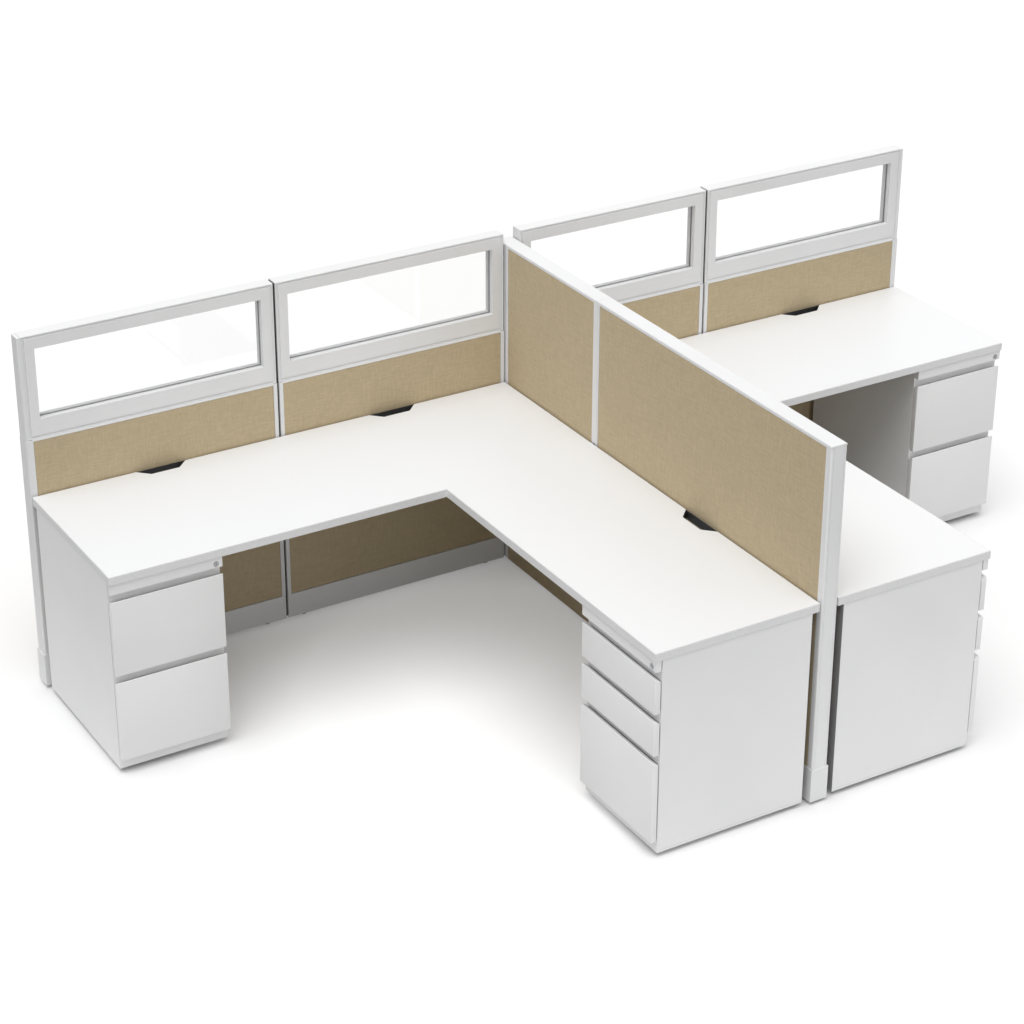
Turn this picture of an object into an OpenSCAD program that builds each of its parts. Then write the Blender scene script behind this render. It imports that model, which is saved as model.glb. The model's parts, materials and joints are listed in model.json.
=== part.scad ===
// Cubicle workstation: two L-shaped desks on either side of a panel wing, along one panel spine.
// Millimetres, +Z up. The origin is on the floor in the middle of the footprint, +X runs along
// the spine and the wing points towards -Y. The left desk is the one at -X.

/* [Panel runs] */
// Thickness of every panel, and the side of the junction post
panel_t = 60; // [54:1:76]
// Length of the left spine panel next to the wing
left_inner_len = 914; // [860:1:1060]
// Length of the left spine panel at the end
left_outer_len = 914; // [800:1:1060]
// Length of the right spine panel next to the wing
right_inner_len = 815; // [760:1:960]
// Length of the right spine panel at the end
right_outer_len = 914; // [800:1:1060]
// Length of the wing panel next to the spine
wing_inner_len = 610; // [560:1:720]
// Length of the wing panel at the end
wing_outer_len = 1305; // [1150:1:1500]
// Height of the lower, fabric part of the spine
spine_base_h = 946; // [880:1:1000]
// Height of the window unit that stands on it
window_unit_h = 373; // [330:1:440]
// Height of the wing with its cap
wing_h = 1281; // [1180:1:1310]
// Gap between neighbouring panels
panel_gap = 9; // [7:1:12]

/* [Panel frames] */
// Width of the painted edge beside a tile
frame_edge_w = 14; // [10:1:18]
// Height of the painted edge above a tile
frame_top_edge = 5; // [3:1:8]
// Width of the seat behind a tile's edge
tile_seat_w = 18; // [12:1:26]
// Wall of the tubes and rails
frame_wall = 2; // [1.5:0.5:3]
// Height of the rails between the stiles
rail_h = 32; // [24:1:42]
// Height of the foot rail
foot_rail_h = 12; // [9:1:16]
// Floor clearance of the frames
frame_floor_gap = 16; // [13:1:22]
// Thickness of a fabric tile
tile_t = 12; // [9:1:15]
// Floor clearance of the wing's tiles
wing_tile_floor_gap = 12; // [9:1:18]

/* [Windows] */
// Width of a window frame's upright
window_stile_w = 46; // [38:1:56]
// Height of a window frame's top bar
window_top_h = 51; // [42:1:60]
// Height of a window frame's bottom bar
window_bottom_h = 71; // [58:1:84]
// Thickness of the glass
glass_t = 6; // [5:1:8]
// Width of the gasket across the panel
gasket_w = 14; // [12:1:20]
// How far the gasket reaches into the frame
gasket_depth = 10; // [8:1:14]
// How far a window frame's face lies behind the tiles' face
window_setback = 4; // [2:1:6]
// Distance of the face groove from the outer edge
face_groove_inset = 4; // [3:1:6]
// Width of the face groove
face_groove_w = 8; // [5:1:11]

/* [Trim] */
// Thickness of the end trims
end_trim_t = 12; // [9:1:16]
// Chamfer of the end trims' corners
end_trim_chamfer = 4; // [2:0.5:6]
// Distance of the end trims' grooves from their faces
trim_groove_inset = 9; // [7:1:13]
// Width of the trim over the joint of the wing's panels
joint_trim_w = 23; // [19:1:27]
// Thickness of the trim over the joint
joint_trim_t = 1.5; // [1:0.25:2]
// Thickness of the wing's top cap
cap_t = 7; // [5:1:10]
// Chamfer along the caps and the window tops
cap_chamfer = 2.5; // [1:0.5:4]
// Top of the base covers
base_cover_top = 105; // [90:1:125]
// Floor clearance of the base covers and shoes
base_cover_floor_gap = 12; // [9:1:16]
// Sheet of the base covers
base_cover_t = 2; // [1.5:0.5:3]
// Top of the shoe at each free end
shoe_top = 133; // [115:1:150]
// Length of the shoe along the panel
shoe_len = 90; // [70:1:120]
// Wall of the shoe
shoe_wall = 3; // [2:0.5:4]

/* [Worktops] */
// Height of the worktops
worktop_h = 743; // [720:1:770]
// Thickness of the worktops
worktop_t = 29; // [25:1:35]
// Depth of the worktops along the spine
spine_side_depth = 650; // [600:1:720]
// Depth of the worktops along the wing
wing_side_depth = 610; // [570:1:680]
// Gap between a worktop and the panels
worktop_gap = 6; // [4:1:9]
// How far a worktop ends short of the panels
worktop_end_inset = 3; // [2:1:8]
// Thickness of the edge banding
band_t = 3; // [2:0.5:4]
// Width of a cable notch at the panel
notch_w = 184; // [150:1:220]
// Depth of a cable notch
notch_depth = 40; // [30:1:50]
// Shift of the notches next to the wing, away from the middle of their panel
inner_notch_shift = 18; // [0:1:40]
// Shift of the notches along the wing, away from the middle of their panel
wing_notch_shift = 15; // [0:1:40]
// Wall of the plastic liner in each notch
liner_t = 2.5; // [2:0.5:4]

/* [Brackets and screws] */
// Reach of the cantilever brackets
bracket_reach = 500; // [400:1:540]
// Height of a bracket at the panel
bracket_h = 90; // [70:1:120]
// Height of a bracket at its tip
bracket_tip_h = 22; // [16:1:30]
// Sheet of the brackets
bracket_t = 3; // [2:0.5:4]
// Width of a bracket's flange
bracket_flange_w = 30; // [26:1:36]
// Radius of the worktop screws
screw_r = 2.5; // [2:0.25:3]
// Length of the worktop screws in the worktop
screw_grip = 16; // [12:1:20]
// Radius of a screw head
screw_head_r = 5; // [4.5:0.25:6]
// Height of a screw head
screw_head_h = 3; // [2:0.5:4]

/* [Pedestals] */
// Width of the pedestals with two file drawers
file_ped_w = 390; // [360:1:430]
// Width of the pedestals with two box drawers and a file drawer
box_ped_w = 415; // [380:1:450]
// How far a pedestal stands in from the worktop's end
ped_end_inset = 3; // [1:1:10]
// How far the fronts stand back from the worktop's front edge
ped_front_inset = 5; // [2:1:15]
// Clearance behind a pedestal
ped_back_gap = 30; // [20:1:45]
// Wall of the case's sides
case_side_t = 12; // [10:1:16]
// Sheet of the case's back, floor and top
case_sheet_t = 3; // [2:0.5:4]
// Sheet of the case's cross rails
cross_rail_t = 2; // [1.5:0.5:2.5]
// How far a cross rail reaches behind a front
cross_rail_lap = 12; // [10:1:13]
// Floor clearance of the case
case_floor_gap = 18; // [14:1:24]
// Top of the toe base
toe_h = 61; // [52:1:72]
// Height of the front rail under the worktop
front_rail_h = 38; // [34:1:44]
// Thickness of the front rail and the drawer fronts
front_t = 20; // [17:1:24]
// Gap between the fronts and the case
front_gap_y = 4; // [3:0.5:5]
// Finger space above the upper drawer
top_finger_gap = 27; // [22:1:32]
// Finger space between two fronts
finger_gap = 26; // [22:1:32]
// Height of the lower front
lower_front_h = 291; // [265:1:310]
// Drop of the sloped pull from the front's face to its back
pull_drop = 10; // [8:1:12]
// Thickness of the pull's lip
pull_lip = 3; // [2:0.5:5]

/* [Drawers] */
// Sheet of a drawer box
drawer_sheet = 2; // [1.5:0.5:3]
// Clearance between a drawer box and the opening it passes, above and below
drawer_clear = 7; // [5:1:9]
// Space behind a closed drawer
drawer_back_clear = 25; // [18:1:35]
// Space between a drawer and the case's side, for the runner
runner_space = 12.7; // [12:0.1:15]
// Height of the fixed runner channel
runner_h = 36; // [30:1:42]
// Sheet of the runners
runner_sheet = 1.5; // [1:0.25:2]
// Sliding clearance in the runners
runner_clear = 0.25; // [0.15:0.05:0.4]
// Height of a runner above the bottom of its drawer
runner_rise = 12; // [8:1:16]
// Start of a runner behind the case's front
runner_setback = 22; // [20:1:30]
// Width of the rails for hanging files
file_rail_w = 8; // [6:1:12]

/* [Locks] */
// Distance of the lock from the rail's right end
lock_inset = 22; // [21:0.5:26]
// Height of the lock above the rail's lower edge
lock_rise = 14; // [12:0.5:17]
// Radius of the lock barrel
barrel_r = 8; // [7.5:0.25:8.5]
// Radius of the plug
plug_r = 6; // [5:0.25:6.5]
// Running clearance of the lock's round parts
lock_clear = 0.05; // [0.02:0.01:0.1]
// Radius at which the drive pin turns
pin_orbit = 7; // [6:0.25:7]
// Radius of the drive pin
pin_r = 2; // [1.5:0.25:2]
// Clearance of the pin in its slot
pin_clear = 0.4; // [0.35:0.05:0.6]
// Thickness of the gang-lock bar
bar_t = 4; // [3:0.25:4.5]
// Width of the gang-lock bar
bar_w = 12; // [10:1:14]
// Clearance of the bar in its channel
bar_clear = 0.3; // [0.2:0.05:0.4]

/* [Glides] */
// Radius of a glide's foot
glide_r = 15; // [12:1:17]
// Height of a glide's foot
glide_foot_h = 7; // [5:1:9]
// Radius of a glide's stud
glide_stud_r = 5; // [4:0.5:6]
// Clearance of a stud in its hole
glide_clear = 0.05; // [0.02:0.01:0.1]

/* [Hidden] */

$fn = 48;

// Colours of the finishes
white_laminate = [0.97, 0.97, 0.96];
band_white = [0.84, 0.84, 0.84];
panel_paint = [0.80, 0.81, 0.81];
case_paint = [0.84, 0.84, 0.84];
fabric_tan = [0.68, 0.63, 0.50];
core_grey = [0.45, 0.45, 0.43];
glass_clear = [0.86, 0.93, 0.93, 0.35];
gasket_grey = [0.35, 0.35, 0.36];
cover_grey = [0.66, 0.67, 0.68];
dark_plastic = [0.16, 0.16, 0.17];
bare_steel = [0.62, 0.63, 0.65];
chrome_grey = [0.75, 0.76, 0.78];

// Overrun of a cut past the face it opens
over = 1;

// Small sizes of the panels
panel_half = panel_t / 2;
window_half = panel_half - window_setback;
core_t = panel_t - 2 * tile_t;
face_groove_depth = 4;
trim_groove_w = 2;
trim_groove_depth = 1.5;
glass_lap = 8;
cap_joint = 1;
trim_joint = 1;
connector_recess = 5;
connector_depth = 2 * (window_half - connector_recess);
joint_trim_clear = 2;
cover_flange = tile_t;
tile_cover_gap = 1;
stud_rise = 8;
core_stud_clear = 6;
panel_glide_inset = 70;

// Ends of the runs, measured from the junction post
left_run = left_inner_len + left_outer_len;
right_run = right_inner_len + right_outer_len;
wing_run = wing_inner_len + wing_outer_len;
left_end_x = -panel_half - left_run - end_trim_t - shoe_wall;
right_end_x = panel_half + right_run + end_trim_t + shoe_wall;
front_end_y = -panel_half - wing_run - end_trim_t - shoe_wall;
back_end_y = panel_half + shoe_wall;
place_x = -(left_end_x + right_end_x) / 2;
place_y = -(front_end_y + back_end_y) / 2;
spine_top = spine_base_h + window_unit_h;
wing_frame_h = wing_h - cap_t;
cover_h = base_cover_top - base_cover_floor_gap;

// Worktops, measured from the corner where the spine's face meets the wing's
worktop_bottom = worktop_h - worktop_t;
worktop_edge_spine = worktop_gap + spine_side_depth;
worktop_edge_wing = worktop_gap + wing_side_depth;
wing_worktop_end = wing_run + end_trim_t - worktop_end_inset;
screw_pilot_clear = 0.05;
screw_hole_clear = 0.2;
screw_end_clear = 2;
screw_hole_depth = screw_grip + screw_end_clear;
bracket_screw_shares = [0.3, 0.85];

// Pedestals: x to the right and y into the case, seen from the front, from the face of the fronts
ped_top = worktop_bottom;
case_front = front_t + front_gap_y;
file_ped_depth = worktop_edge_spine - ped_front_inset - ped_back_gap;
box_ped_depth = worktop_edge_wing - ped_front_inset - ped_back_gap;
top_front_top = ped_top - front_rail_h - top_finger_gap;
lower_front_top = toe_h + lower_front_h;
upper_front_z = lower_front_top + finger_gap;
upper_front_h = top_front_top - upper_front_z;
box_front_h = (upper_front_h - finger_gap) / 2;
box_top_front_z = upper_front_z + box_front_h + finger_gap;
flange_line = 1;
flange_line_rise = 8;
flange_line_z = case_floor_gap + flange_line_rise;
rail_relief_x = case_side_t;
ped_glide_inset_x = 42;
ped_glide_inset_y = 60;
ped_screw_inset_x = 45;
ped_screw_inset_y = 90;

// Drawers
drawer_side = case_side_t + runner_space;
drawer_rise = cross_rail_lap + drawer_clear;
runner_start = case_front + runner_setback;
runner_gap_x = 0.7;
runner_reach = runner_space - runner_sheet - runner_gap_x;
tongue_reach = 2 * runner_sheet;
member_seat_gap = 0.1;

// Locks: the bar runs in a channel of the right side, and lifts by the pin's rise
lock_z = ped_top - front_rail_h + lock_rise;
barrel_flange = 1.5;
barrel_flange_t = 1.5;
barrel_tail = 1;
barrel_back = case_front + cross_rail_t + barrel_tail;
plug_proud = 0.5;
plug_tail = 1;
plug_back = barrel_back + plug_tail;
cam_t = 3;
cam_rim = 0.5;
cam_r = pin_orbit + pin_r + cam_rim;
key_slot_w = 1.2;
key_slot_h = 7;
key_slot_depth = 10;
pin_rest_angle = 225;
pin_rise = 2 * pin_orbit * sin(45);
pin_slot_travel = pin_orbit * (1 - cos(45));
cam_bar_gap = 1.5;
bar_head_y = plug_back + cam_t + cam_bar_gap;
bar_head_setback = 2;
bar_strip_y = bar_head_y - bar_head_setback;
bar_head_h = 16;
bar_head_margin = 5;
bar_foot_rise = 20;
bar_bottom = toe_h + bar_foot_rise;
finger_t = 4;
finger_h = 10;
finger_reach = 4;
finger_drop = 2;
tab_h = 6;
tab_t = 4;
tab_drop = 16;
tab_wall_clear = 1;
tab_finger_clear = 2.5;

// Place of the whole model on its origin
module placed() {
    translate([place_x, place_y, 0]) children();
}

// A run's own frame has x away from the junction post and the panel's thickness along y
module left_spine() {
    translate([-panel_half, 0, 0]) mirror([1, 0, 0]) children();
}

module right_spine() {
    translate([panel_half, 0, 0]) children();
}

module wing() {
    translate([0, -panel_half, 0]) rotate([0, 0, -90]) children();
}

// A desk's own frame has x along the spine and y along the wing, from the corner of their faces
module left_desk() {
    translate([-panel_half, -panel_half, 0]) rotate([0, 0, 180]) children();
}

module right_desk() {
    translate([panel_half, -panel_half, 0]) mirror([0, 1, 0]) children();
}

// Where a run's two panels start and end: [start, length]
function inner_span(inner_len) = [panel_gap / 2, inner_len - panel_gap];
function outer_span(inner_len, outer_len) = [inner_len + panel_gap / 2, outer_len - panel_gap / 2];

// Panels

// Section of a stile with its painted edge and the seat behind the tiles, two closed tubes
module stile_section() {
    difference() {
        union() {
            translate([0, -panel_half]) square([frame_edge_w, panel_t]);
            translate([0, -core_t / 2]) square([frame_edge_w + tile_seat_w, core_t]);
        }
        translate([frame_wall, -panel_half + frame_wall])
            square([frame_edge_w - 2 * frame_wall, panel_t - 2 * frame_wall]);
        translate([frame_edge_w, -core_t / 2 + frame_wall])
            square([tile_seat_w - frame_wall, core_t - 2 * frame_wall]);
    }
}

// A stile of full section above edge_z, and of the core's section below it
module stile(h, edge_z) {
    translate([0, 0, edge_z]) linear_extrude(h - edge_z) stile_section();
    if (edge_z > frame_floor_gap)
        translate([0, -core_t / 2, frame_floor_gap])
            cube([frame_edge_w + tile_seat_w, core_t, edge_z - frame_floor_gap]);
}

// A panel's frame: two stiles, top rail with its painted edge, lower rail and foot rail
module panel_frame(length, h, edge_z, lower_rail) {
    inner = frame_edge_w + tile_seat_w;
    clear_len = length - 2 * inner;
    difference() {
        union() {
            stile(h, edge_z);
            translate([length, 0, 0]) mirror([1, 0, 0]) stile(h, edge_z);
            translate([inner, -core_t / 2, h - rail_h]) cube([clear_len, core_t, rail_h]);
            translate([frame_edge_w, -panel_half, h - frame_top_edge])
                cube([length - 2 * frame_edge_w, panel_t, frame_top_edge]);
            translate([inner, -core_t / 2, frame_floor_gap]) cube([clear_len, core_t, foot_rail_h]);
            if (lower_rail)
                translate([inner, -core_t / 2, edge_z]) cube([clear_len, core_t, rail_h]);
        }
        for (at = [panel_glide_inset, length - panel_glide_inset])
            translate([at, 0, frame_floor_gap - over])
                cylinder(h = foot_rail_h + 2 * over, r = glide_stud_r + glide_clear);
    }
}

// The sound-deadening core between a frame's rails
module panel_core(length, h, bottom) {
    inner = frame_edge_w + tile_seat_w;
    translate([inner, -core_t / 2, bottom]) cube([length - 2 * inner, core_t, h - rail_h - bottom]);
}

// One fabric tile on each face of a panel
module tile_pair(length, bottom, h) {
    for (side = [-1, 1])
        translate([frame_edge_w, side > 0 ? core_t / 2 : -panel_half, bottom])
            cube([length - 2 * frame_edge_w, tile_t, h - frame_top_edge - bottom]);
}

// Two glides under a panel, with studs up through the foot rail
module glide_pair(length) {
    for (at = [panel_glide_inset, length - panel_glide_inset])
        translate([at, 0, 0]) glide(frame_floor_gap + foot_rail_h + stud_rise);
}

module glide(stud_top) {
    cylinder(h = glide_foot_h, r = glide_r);
    translate([0, 0, glide_foot_h]) cylinder(h = stud_top - glide_foot_h, r = glide_stud_r);
}

// Both panels of a run: the inner one next to the post and the outer one at the end
module run_frames(inner_len, outer_len, h, edge_z, lower_rail) {
    for (span = [inner_span(inner_len), outer_span(inner_len, outer_len)])
        translate([span[0], 0, 0]) panel_frame(span[1], h, edge_z, lower_rail);
}

module run_cores(inner_len, outer_len, h, bottom) {
    for (span = [inner_span(inner_len), outer_span(inner_len, outer_len)])
        translate([span[0], 0, 0]) panel_core(span[1], h, bottom);
}

module run_tiles(inner_len, outer_len, bottom, h) {
    for (span = [inner_span(inner_len), outer_span(inner_len, outer_len)])
        translate([span[0], 0, 0]) tile_pair(span[1], bottom, h);
}

module run_glides(inner_len, outer_len) {
    for (span = [inner_span(inner_len), outer_span(inner_len, outer_len)])
        translate([span[0], 0, 0]) glide_pair(span[1]);
}

module spine_frames_left() {
    color(panel_paint) placed() left_spine()
        run_frames(left_inner_len, left_outer_len, spine_base_h, base_cover_top, true);
}

module spine_frames_right() {
    color(panel_paint) placed() right_spine()
        run_frames(right_inner_len, right_outer_len, spine_base_h, base_cover_top, true);
}

module wing_frames() {
    color(panel_paint) placed() wing()
        run_frames(wing_inner_len, wing_outer_len, wing_frame_h, frame_floor_gap, false);
}

module panel_cores() {
    spine_core_z = base_cover_top + rail_h;
    wing_core_z = frame_floor_gap + foot_rail_h + stud_rise + core_stud_clear;
    color(core_grey) placed() {
        left_spine() run_cores(left_inner_len, left_outer_len, spine_base_h, spine_core_z);
        right_spine() run_cores(right_inner_len, right_outer_len, spine_base_h, spine_core_z);
        wing() run_cores(wing_inner_len, wing_outer_len, wing_frame_h, wing_core_z);
    }
}

module spine_tiles() {
    bottom = base_cover_top + tile_cover_gap;
    color(fabric_tan) placed() {
        left_spine() run_tiles(left_inner_len, left_outer_len, bottom, spine_base_h);
        right_spine() run_tiles(right_inner_len, right_outer_len, bottom, spine_base_h);
    }
}

module wing_tiles() {
    color(fabric_tan) placed() wing()
        run_tiles(wing_inner_len, wing_outer_len, wing_tile_floor_gap, wing_frame_h);
}

module panel_glides() {
    color(dark_plastic) placed() {
        left_spine() run_glides(left_inner_len, left_outer_len);
        right_spine() run_glides(right_inner_len, right_outer_len);
        wing() run_glides(wing_inner_len, wing_outer_len);
    }
}

// The post where the wing meets the spine, an open tube
module junction_post() {
    color(panel_paint) placed() translate([0, 0, frame_floor_gap])
        linear_extrude(wing_frame_h - frame_floor_gap) difference() {
            square(panel_t, center = true);
            square(panel_t - 2 * frame_wall, center = true);
        }
}

// Upright splines that fill the middle of a gap and join the panels
module connector(width, bottom, top) {
    translate([0, -connector_depth / 2, bottom]) cube([width, connector_depth, top - bottom]);
}

module run_connectors(inner_len, base_top, upper_top, post_top) {
    connector(panel_gap / 2, frame_floor_gap, base_top);
    translate([inner_len - panel_gap / 2, 0, 0]) connector(panel_gap, frame_floor_gap, base_top);
    if (upper_top > base_top) {
        connector(panel_gap / 2, base_top, post_top);
        translate([inner_len - panel_gap / 2, 0, 0]) connector(panel_gap, base_top, upper_top);
    }
}

module panel_connectors() {
    window_connector_top = spine_top - connector_recess;
    spine_post_top = min(wing_frame_h, window_connector_top);
    color(dark_plastic) placed() {
        left_spine() run_connectors(left_inner_len, spine_base_h, window_connector_top, spine_post_top);
        right_spine() run_connectors(right_inner_len, spine_base_h, window_connector_top, spine_post_top);
        wing() run_connectors(wing_inner_len, wing_frame_h, wing_frame_h, wing_frame_h);
    }
}

// Windows

// Outline of a window unit seen from its end, with chamfered top edges
module window_profile(h) {
    polygon([
        [-window_half, 0], [window_half, 0], [window_half, h - cap_chamfer],
        [window_half - cap_chamfer, h], [-window_half + cap_chamfer, h], [-window_half, h - cap_chamfer]
    ]);
}

// Ring of a given width and depth, lying against the face of a window frame
module face_ring(length, h, inset, width, depth) {
    for (z = [inset, h - inset - width])
        translate([inset, 0, z]) cube([length - 2 * inset, depth, width]);
    for (x = [inset, length - inset - width])
        translate([x, 0, inset]) cube([width, depth, h - 2 * inset]);
}

module window_frame(length) {
    h = window_unit_h;
    open_len = length - 2 * window_stile_w;
    open_h = h - window_top_h - window_bottom_h;
    difference() {
        rotate([90, 0, 90]) linear_extrude(length) window_profile(h);
        translate([window_stile_w, -window_half - over, window_bottom_h])
            cube([open_len, 2 * (window_half + over), open_h]);
        translate([window_stile_w - gasket_depth, -gasket_w / 2, window_bottom_h - gasket_depth])
            cube([open_len + 2 * gasket_depth, gasket_w, open_h + 2 * gasket_depth]);
        for (side = [-1, 1])
            translate([0, side > 0 ? window_half - face_groove_depth : -window_half - over, 0])
                face_ring(length, h, face_groove_inset, face_groove_w, face_groove_depth + over);
    }
}

// The pane, which reaches into the gasket's slot
module window_pane(length) {
    open_len = length - 2 * window_stile_w;
    open_h = window_unit_h - window_top_h - window_bottom_h;
    translate([window_stile_w - glass_lap, -glass_t / 2, window_bottom_h - glass_lap])
        cube([open_len + 2 * glass_lap, glass_t, open_h + 2 * glass_lap]);
}

module window_gasket(length) {
    open_len = length - 2 * window_stile_w;
    open_h = window_unit_h - window_top_h - window_bottom_h;
    difference() {
        translate([window_stile_w - gasket_depth, -gasket_w / 2, window_bottom_h - gasket_depth])
            cube([open_len + 2 * gasket_depth, gasket_w, open_h + 2 * gasket_depth]);
        translate([window_stile_w, -window_half, window_bottom_h])
            cube([open_len, 2 * window_half, open_h]);
        window_pane(length);
    }
}

// Places its children at both window units of a run
module at_windows(inner_len, outer_len) {
    translate([inner_span(inner_len)[0], 0, spine_base_h]) children(0);
    translate([outer_span(inner_len, outer_len)[0], 0, spine_base_h]) children(1);
}

module run_windows(inner_len, outer_len) {
    at_windows(inner_len, outer_len) {
        window_frame(inner_span(inner_len)[1]);
        window_frame(outer_span(inner_len, outer_len)[1]);
    }
}

module run_panes(inner_len, outer_len) {
    at_windows(inner_len, outer_len) {
        window_pane(inner_span(inner_len)[1]);
        window_pane(outer_span(inner_len, outer_len)[1]);
    }
}

module run_gaskets(inner_len, outer_len) {
    at_windows(inner_len, outer_len) {
        window_gasket(inner_span(inner_len)[1]);
        window_gasket(outer_span(inner_len, outer_len)[1]);
    }
}

module window_frames_left() {
    color(panel_paint) placed() left_spine() run_windows(left_inner_len, left_outer_len);
}

module window_frames_right() {
    color(panel_paint) placed() right_spine() run_windows(right_inner_len, right_outer_len);
}

module glass_panes() {
    color(glass_clear) placed() {
        left_spine() run_panes(left_inner_len, left_outer_len);
        right_spine() run_panes(right_inner_len, right_outer_len);
    }
}

module glazing_gaskets() {
    color(gasket_grey) placed() {
        left_spine() run_gaskets(left_inner_len, left_outer_len);
        right_spine() run_gaskets(right_inner_len, right_outer_len);
    }
}

// Trim

// A flat cap with chamfered long edges, from x = 0
module top_cap(length) {
    rotate([90, 0, 90]) linear_extrude(length) polygon([
        [-panel_half, 0], [panel_half, 0], [panel_half, cap_t - cap_chamfer],
        [panel_half - cap_chamfer, cap_t], [-panel_half + cap_chamfer, cap_t],
        [-panel_half, cap_t - cap_chamfer]
    ]);
}

module wing_top_caps() {
    first_len = panel_t + wing_inner_len - cap_joint / 2;
    second_start = wing_inner_len + cap_joint / 2;
    color(panel_paint) placed() wing() translate([0, 0, wing_frame_h]) {
        translate([-panel_t, 0, 0]) top_cap(first_len);
        translate([second_start, 0, 0]) top_cap(wing_run + end_trim_t - second_start);
    }
}

// A base cover: a plate in the panel's face with a flange along its top and bottom
module base_cover(length) {
    translate([0, -panel_half, base_cover_floor_gap]) {
        cube([length, base_cover_t, cover_h]);
        cube([length, cover_flange, base_cover_t]);
        translate([0, 0, cover_h - base_cover_t]) cube([length, cover_flange, base_cover_t]);
    }
}

// Covers sit on both faces, and clip between the foot rail and the lower rail
module run_covers(inner_len, outer_len) {
    for (span = [inner_span(inner_len), outer_span(inner_len, outer_len)])
        translate([span[0], 0, 0]) {
            base_cover(span[1]);
            mirror([0, 1, 0]) base_cover(span[1]);
        }
}

module base_covers() {
    color(cover_grey) placed() {
        left_spine() run_covers(left_inner_len, left_outer_len);
        right_spine() run_covers(right_inner_len, right_outer_len);
    }
}

// An end trim: a bar with chamfered outer corners and a groove near each
module end_trim(bottom, top, half) {
    groove_out = half - trim_groove_inset;
    groove_in = groove_out - trim_groove_w;
    chamfer_x = end_trim_t - end_trim_chamfer;
    translate([0, 0, bottom]) linear_extrude(top - bottom) difference() {
        polygon([
            [0, -half], [chamfer_x, -half], [end_trim_t, -half + end_trim_chamfer],
            [end_trim_t, half - end_trim_chamfer], [chamfer_x, half], [0, half]
        ]);
        for (y = [-groove_out, groove_in])
            translate([end_trim_t - trim_groove_depth, y])
                square([trim_groove_depth + over, trim_groove_w]);
    }
}

module spine_end_trims(run) {
    translate([run, 0, 0]) {
        end_trim(frame_floor_gap, spine_base_h - trim_joint, panel_half);
        end_trim(spine_base_h, spine_top - cap_chamfer, window_half);
    }
}

// Strips over the joint of the wing's panels, on both faces, clear of the brackets' hook plates
module joint_trims() {
    lower_top = worktop_bottom - bracket_h - joint_trim_clear;
    upper_bottom = worktop_h + joint_trim_clear;
    for (span = [[frame_floor_gap, lower_top], [upper_bottom, wing_frame_h]])
        for (face_y = [-panel_half - joint_trim_t, panel_half])
            translate([wing_inner_len - joint_trim_w / 2, face_y, span[0]])
                cube([joint_trim_w, joint_trim_t, span[1] - span[0]]);
}

module end_trims() {
    color(panel_paint) placed() {
        left_spine() spine_end_trims(left_run);
        right_spine() spine_end_trims(right_run);
        wing() translate([wing_run, 0, 0]) end_trim(frame_floor_gap, wing_frame_h, panel_half);
        wing() joint_trims();
    }
}

// A shoe wraps the foot of a free end, over the tiles or covers and the trim
module base_shoe(run) {
    outer_len = shoe_len + shoe_wall;
    translate([run + end_trim_t + shoe_wall - outer_len, -panel_half - shoe_wall, base_cover_floor_gap])
        difference() {
            cube([outer_len, panel_t + 2 * shoe_wall, shoe_top - base_cover_floor_gap]);
            translate([-over, shoe_wall, -over])
                cube([shoe_len + over, panel_t, shoe_top - base_cover_floor_gap + 2 * over]);
        }
}

module base_shoes() {
    color(panel_paint) placed() {
        left_spine() base_shoe(left_run);
        right_spine() base_shoe(right_run);
        wing() base_shoe(wing_run);
    }
}

// Worktops

// Points of a cable notch along an edge at the gap from the panels, centred at c
function notch_points(c) = [
    [c - notch_w / 2, worktop_gap],
    [c - notch_w / 2 + notch_depth, worktop_gap + notch_depth],
    [c + notch_w / 2 - notch_depth, worktop_gap + notch_depth],
    [c + notch_w / 2, worktop_gap]
];

// Points of the opening inside a notch's liner, whose wall is even along the 45 degree ends too
function liner_points(c) =
    let (
        wide = notch_w / 2 - liner_t * (1 + sqrt(2)),
        narrow = notch_w / 2 - notch_depth - liner_t * (sqrt(2) - 1),
        back = worktop_gap + liner_t,
        front = worktop_gap + notch_depth - liner_t
    )
    [[c - wide, back], [c - narrow, front], [c + narrow, front], [c + wide, back]];

function swapped(points) = [for (i = [len(points) - 1 : -1 : 0]) [points[i][1], points[i][0]]];

function spine_notches(inner_len, outer_len) = [
    inner_len / 2 + inner_notch_shift,
    inner_len + outer_len / 2
];

wing_notch = wing_inner_len + wing_outer_len / 2 + wing_notch_shift;

// Outline of a worktop, with its banded edges drawn in by inset
function worktop_outline(inner_len, outer_len, inset) =
    let (
        end = inner_len + outer_len + end_trim_t - worktop_end_inset - inset,
        front = worktop_edge_spine - inset,
        wing_front = worktop_edge_wing - inset,
        wing_end = wing_worktop_end - inset,
        notches = spine_notches(inner_len, outer_len)
    )
    concat(
        [[worktop_gap, worktop_gap]],
        notch_points(notches[0]),
        notch_points(notches[1]),
        [[end, worktop_gap], [end, front], [wing_front, front], [wing_front, wing_end],
         [worktop_gap, wing_end]],
        swapped(notch_points(wing_notch))
    );

module worktop_body(inner_len, outer_len) {
    translate([0, 0, worktop_bottom]) linear_extrude(worktop_t)
        polygon(worktop_outline(inner_len, outer_len, band_t));
}

module worktop_band(inner_len, outer_len) {
    translate([0, 0, worktop_bottom]) linear_extrude(worktop_t) difference() {
        polygon(worktop_outline(inner_len, outer_len, 0));
        polygon(worktop_outline(inner_len, outer_len, band_t));
    }
}

module worktop_left() {
    color(white_laminate) placed() difference() {
        left_desk() worktop_body(left_inner_len, left_outer_len);
        at_left_screws() screw_hole();
    }
}

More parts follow.
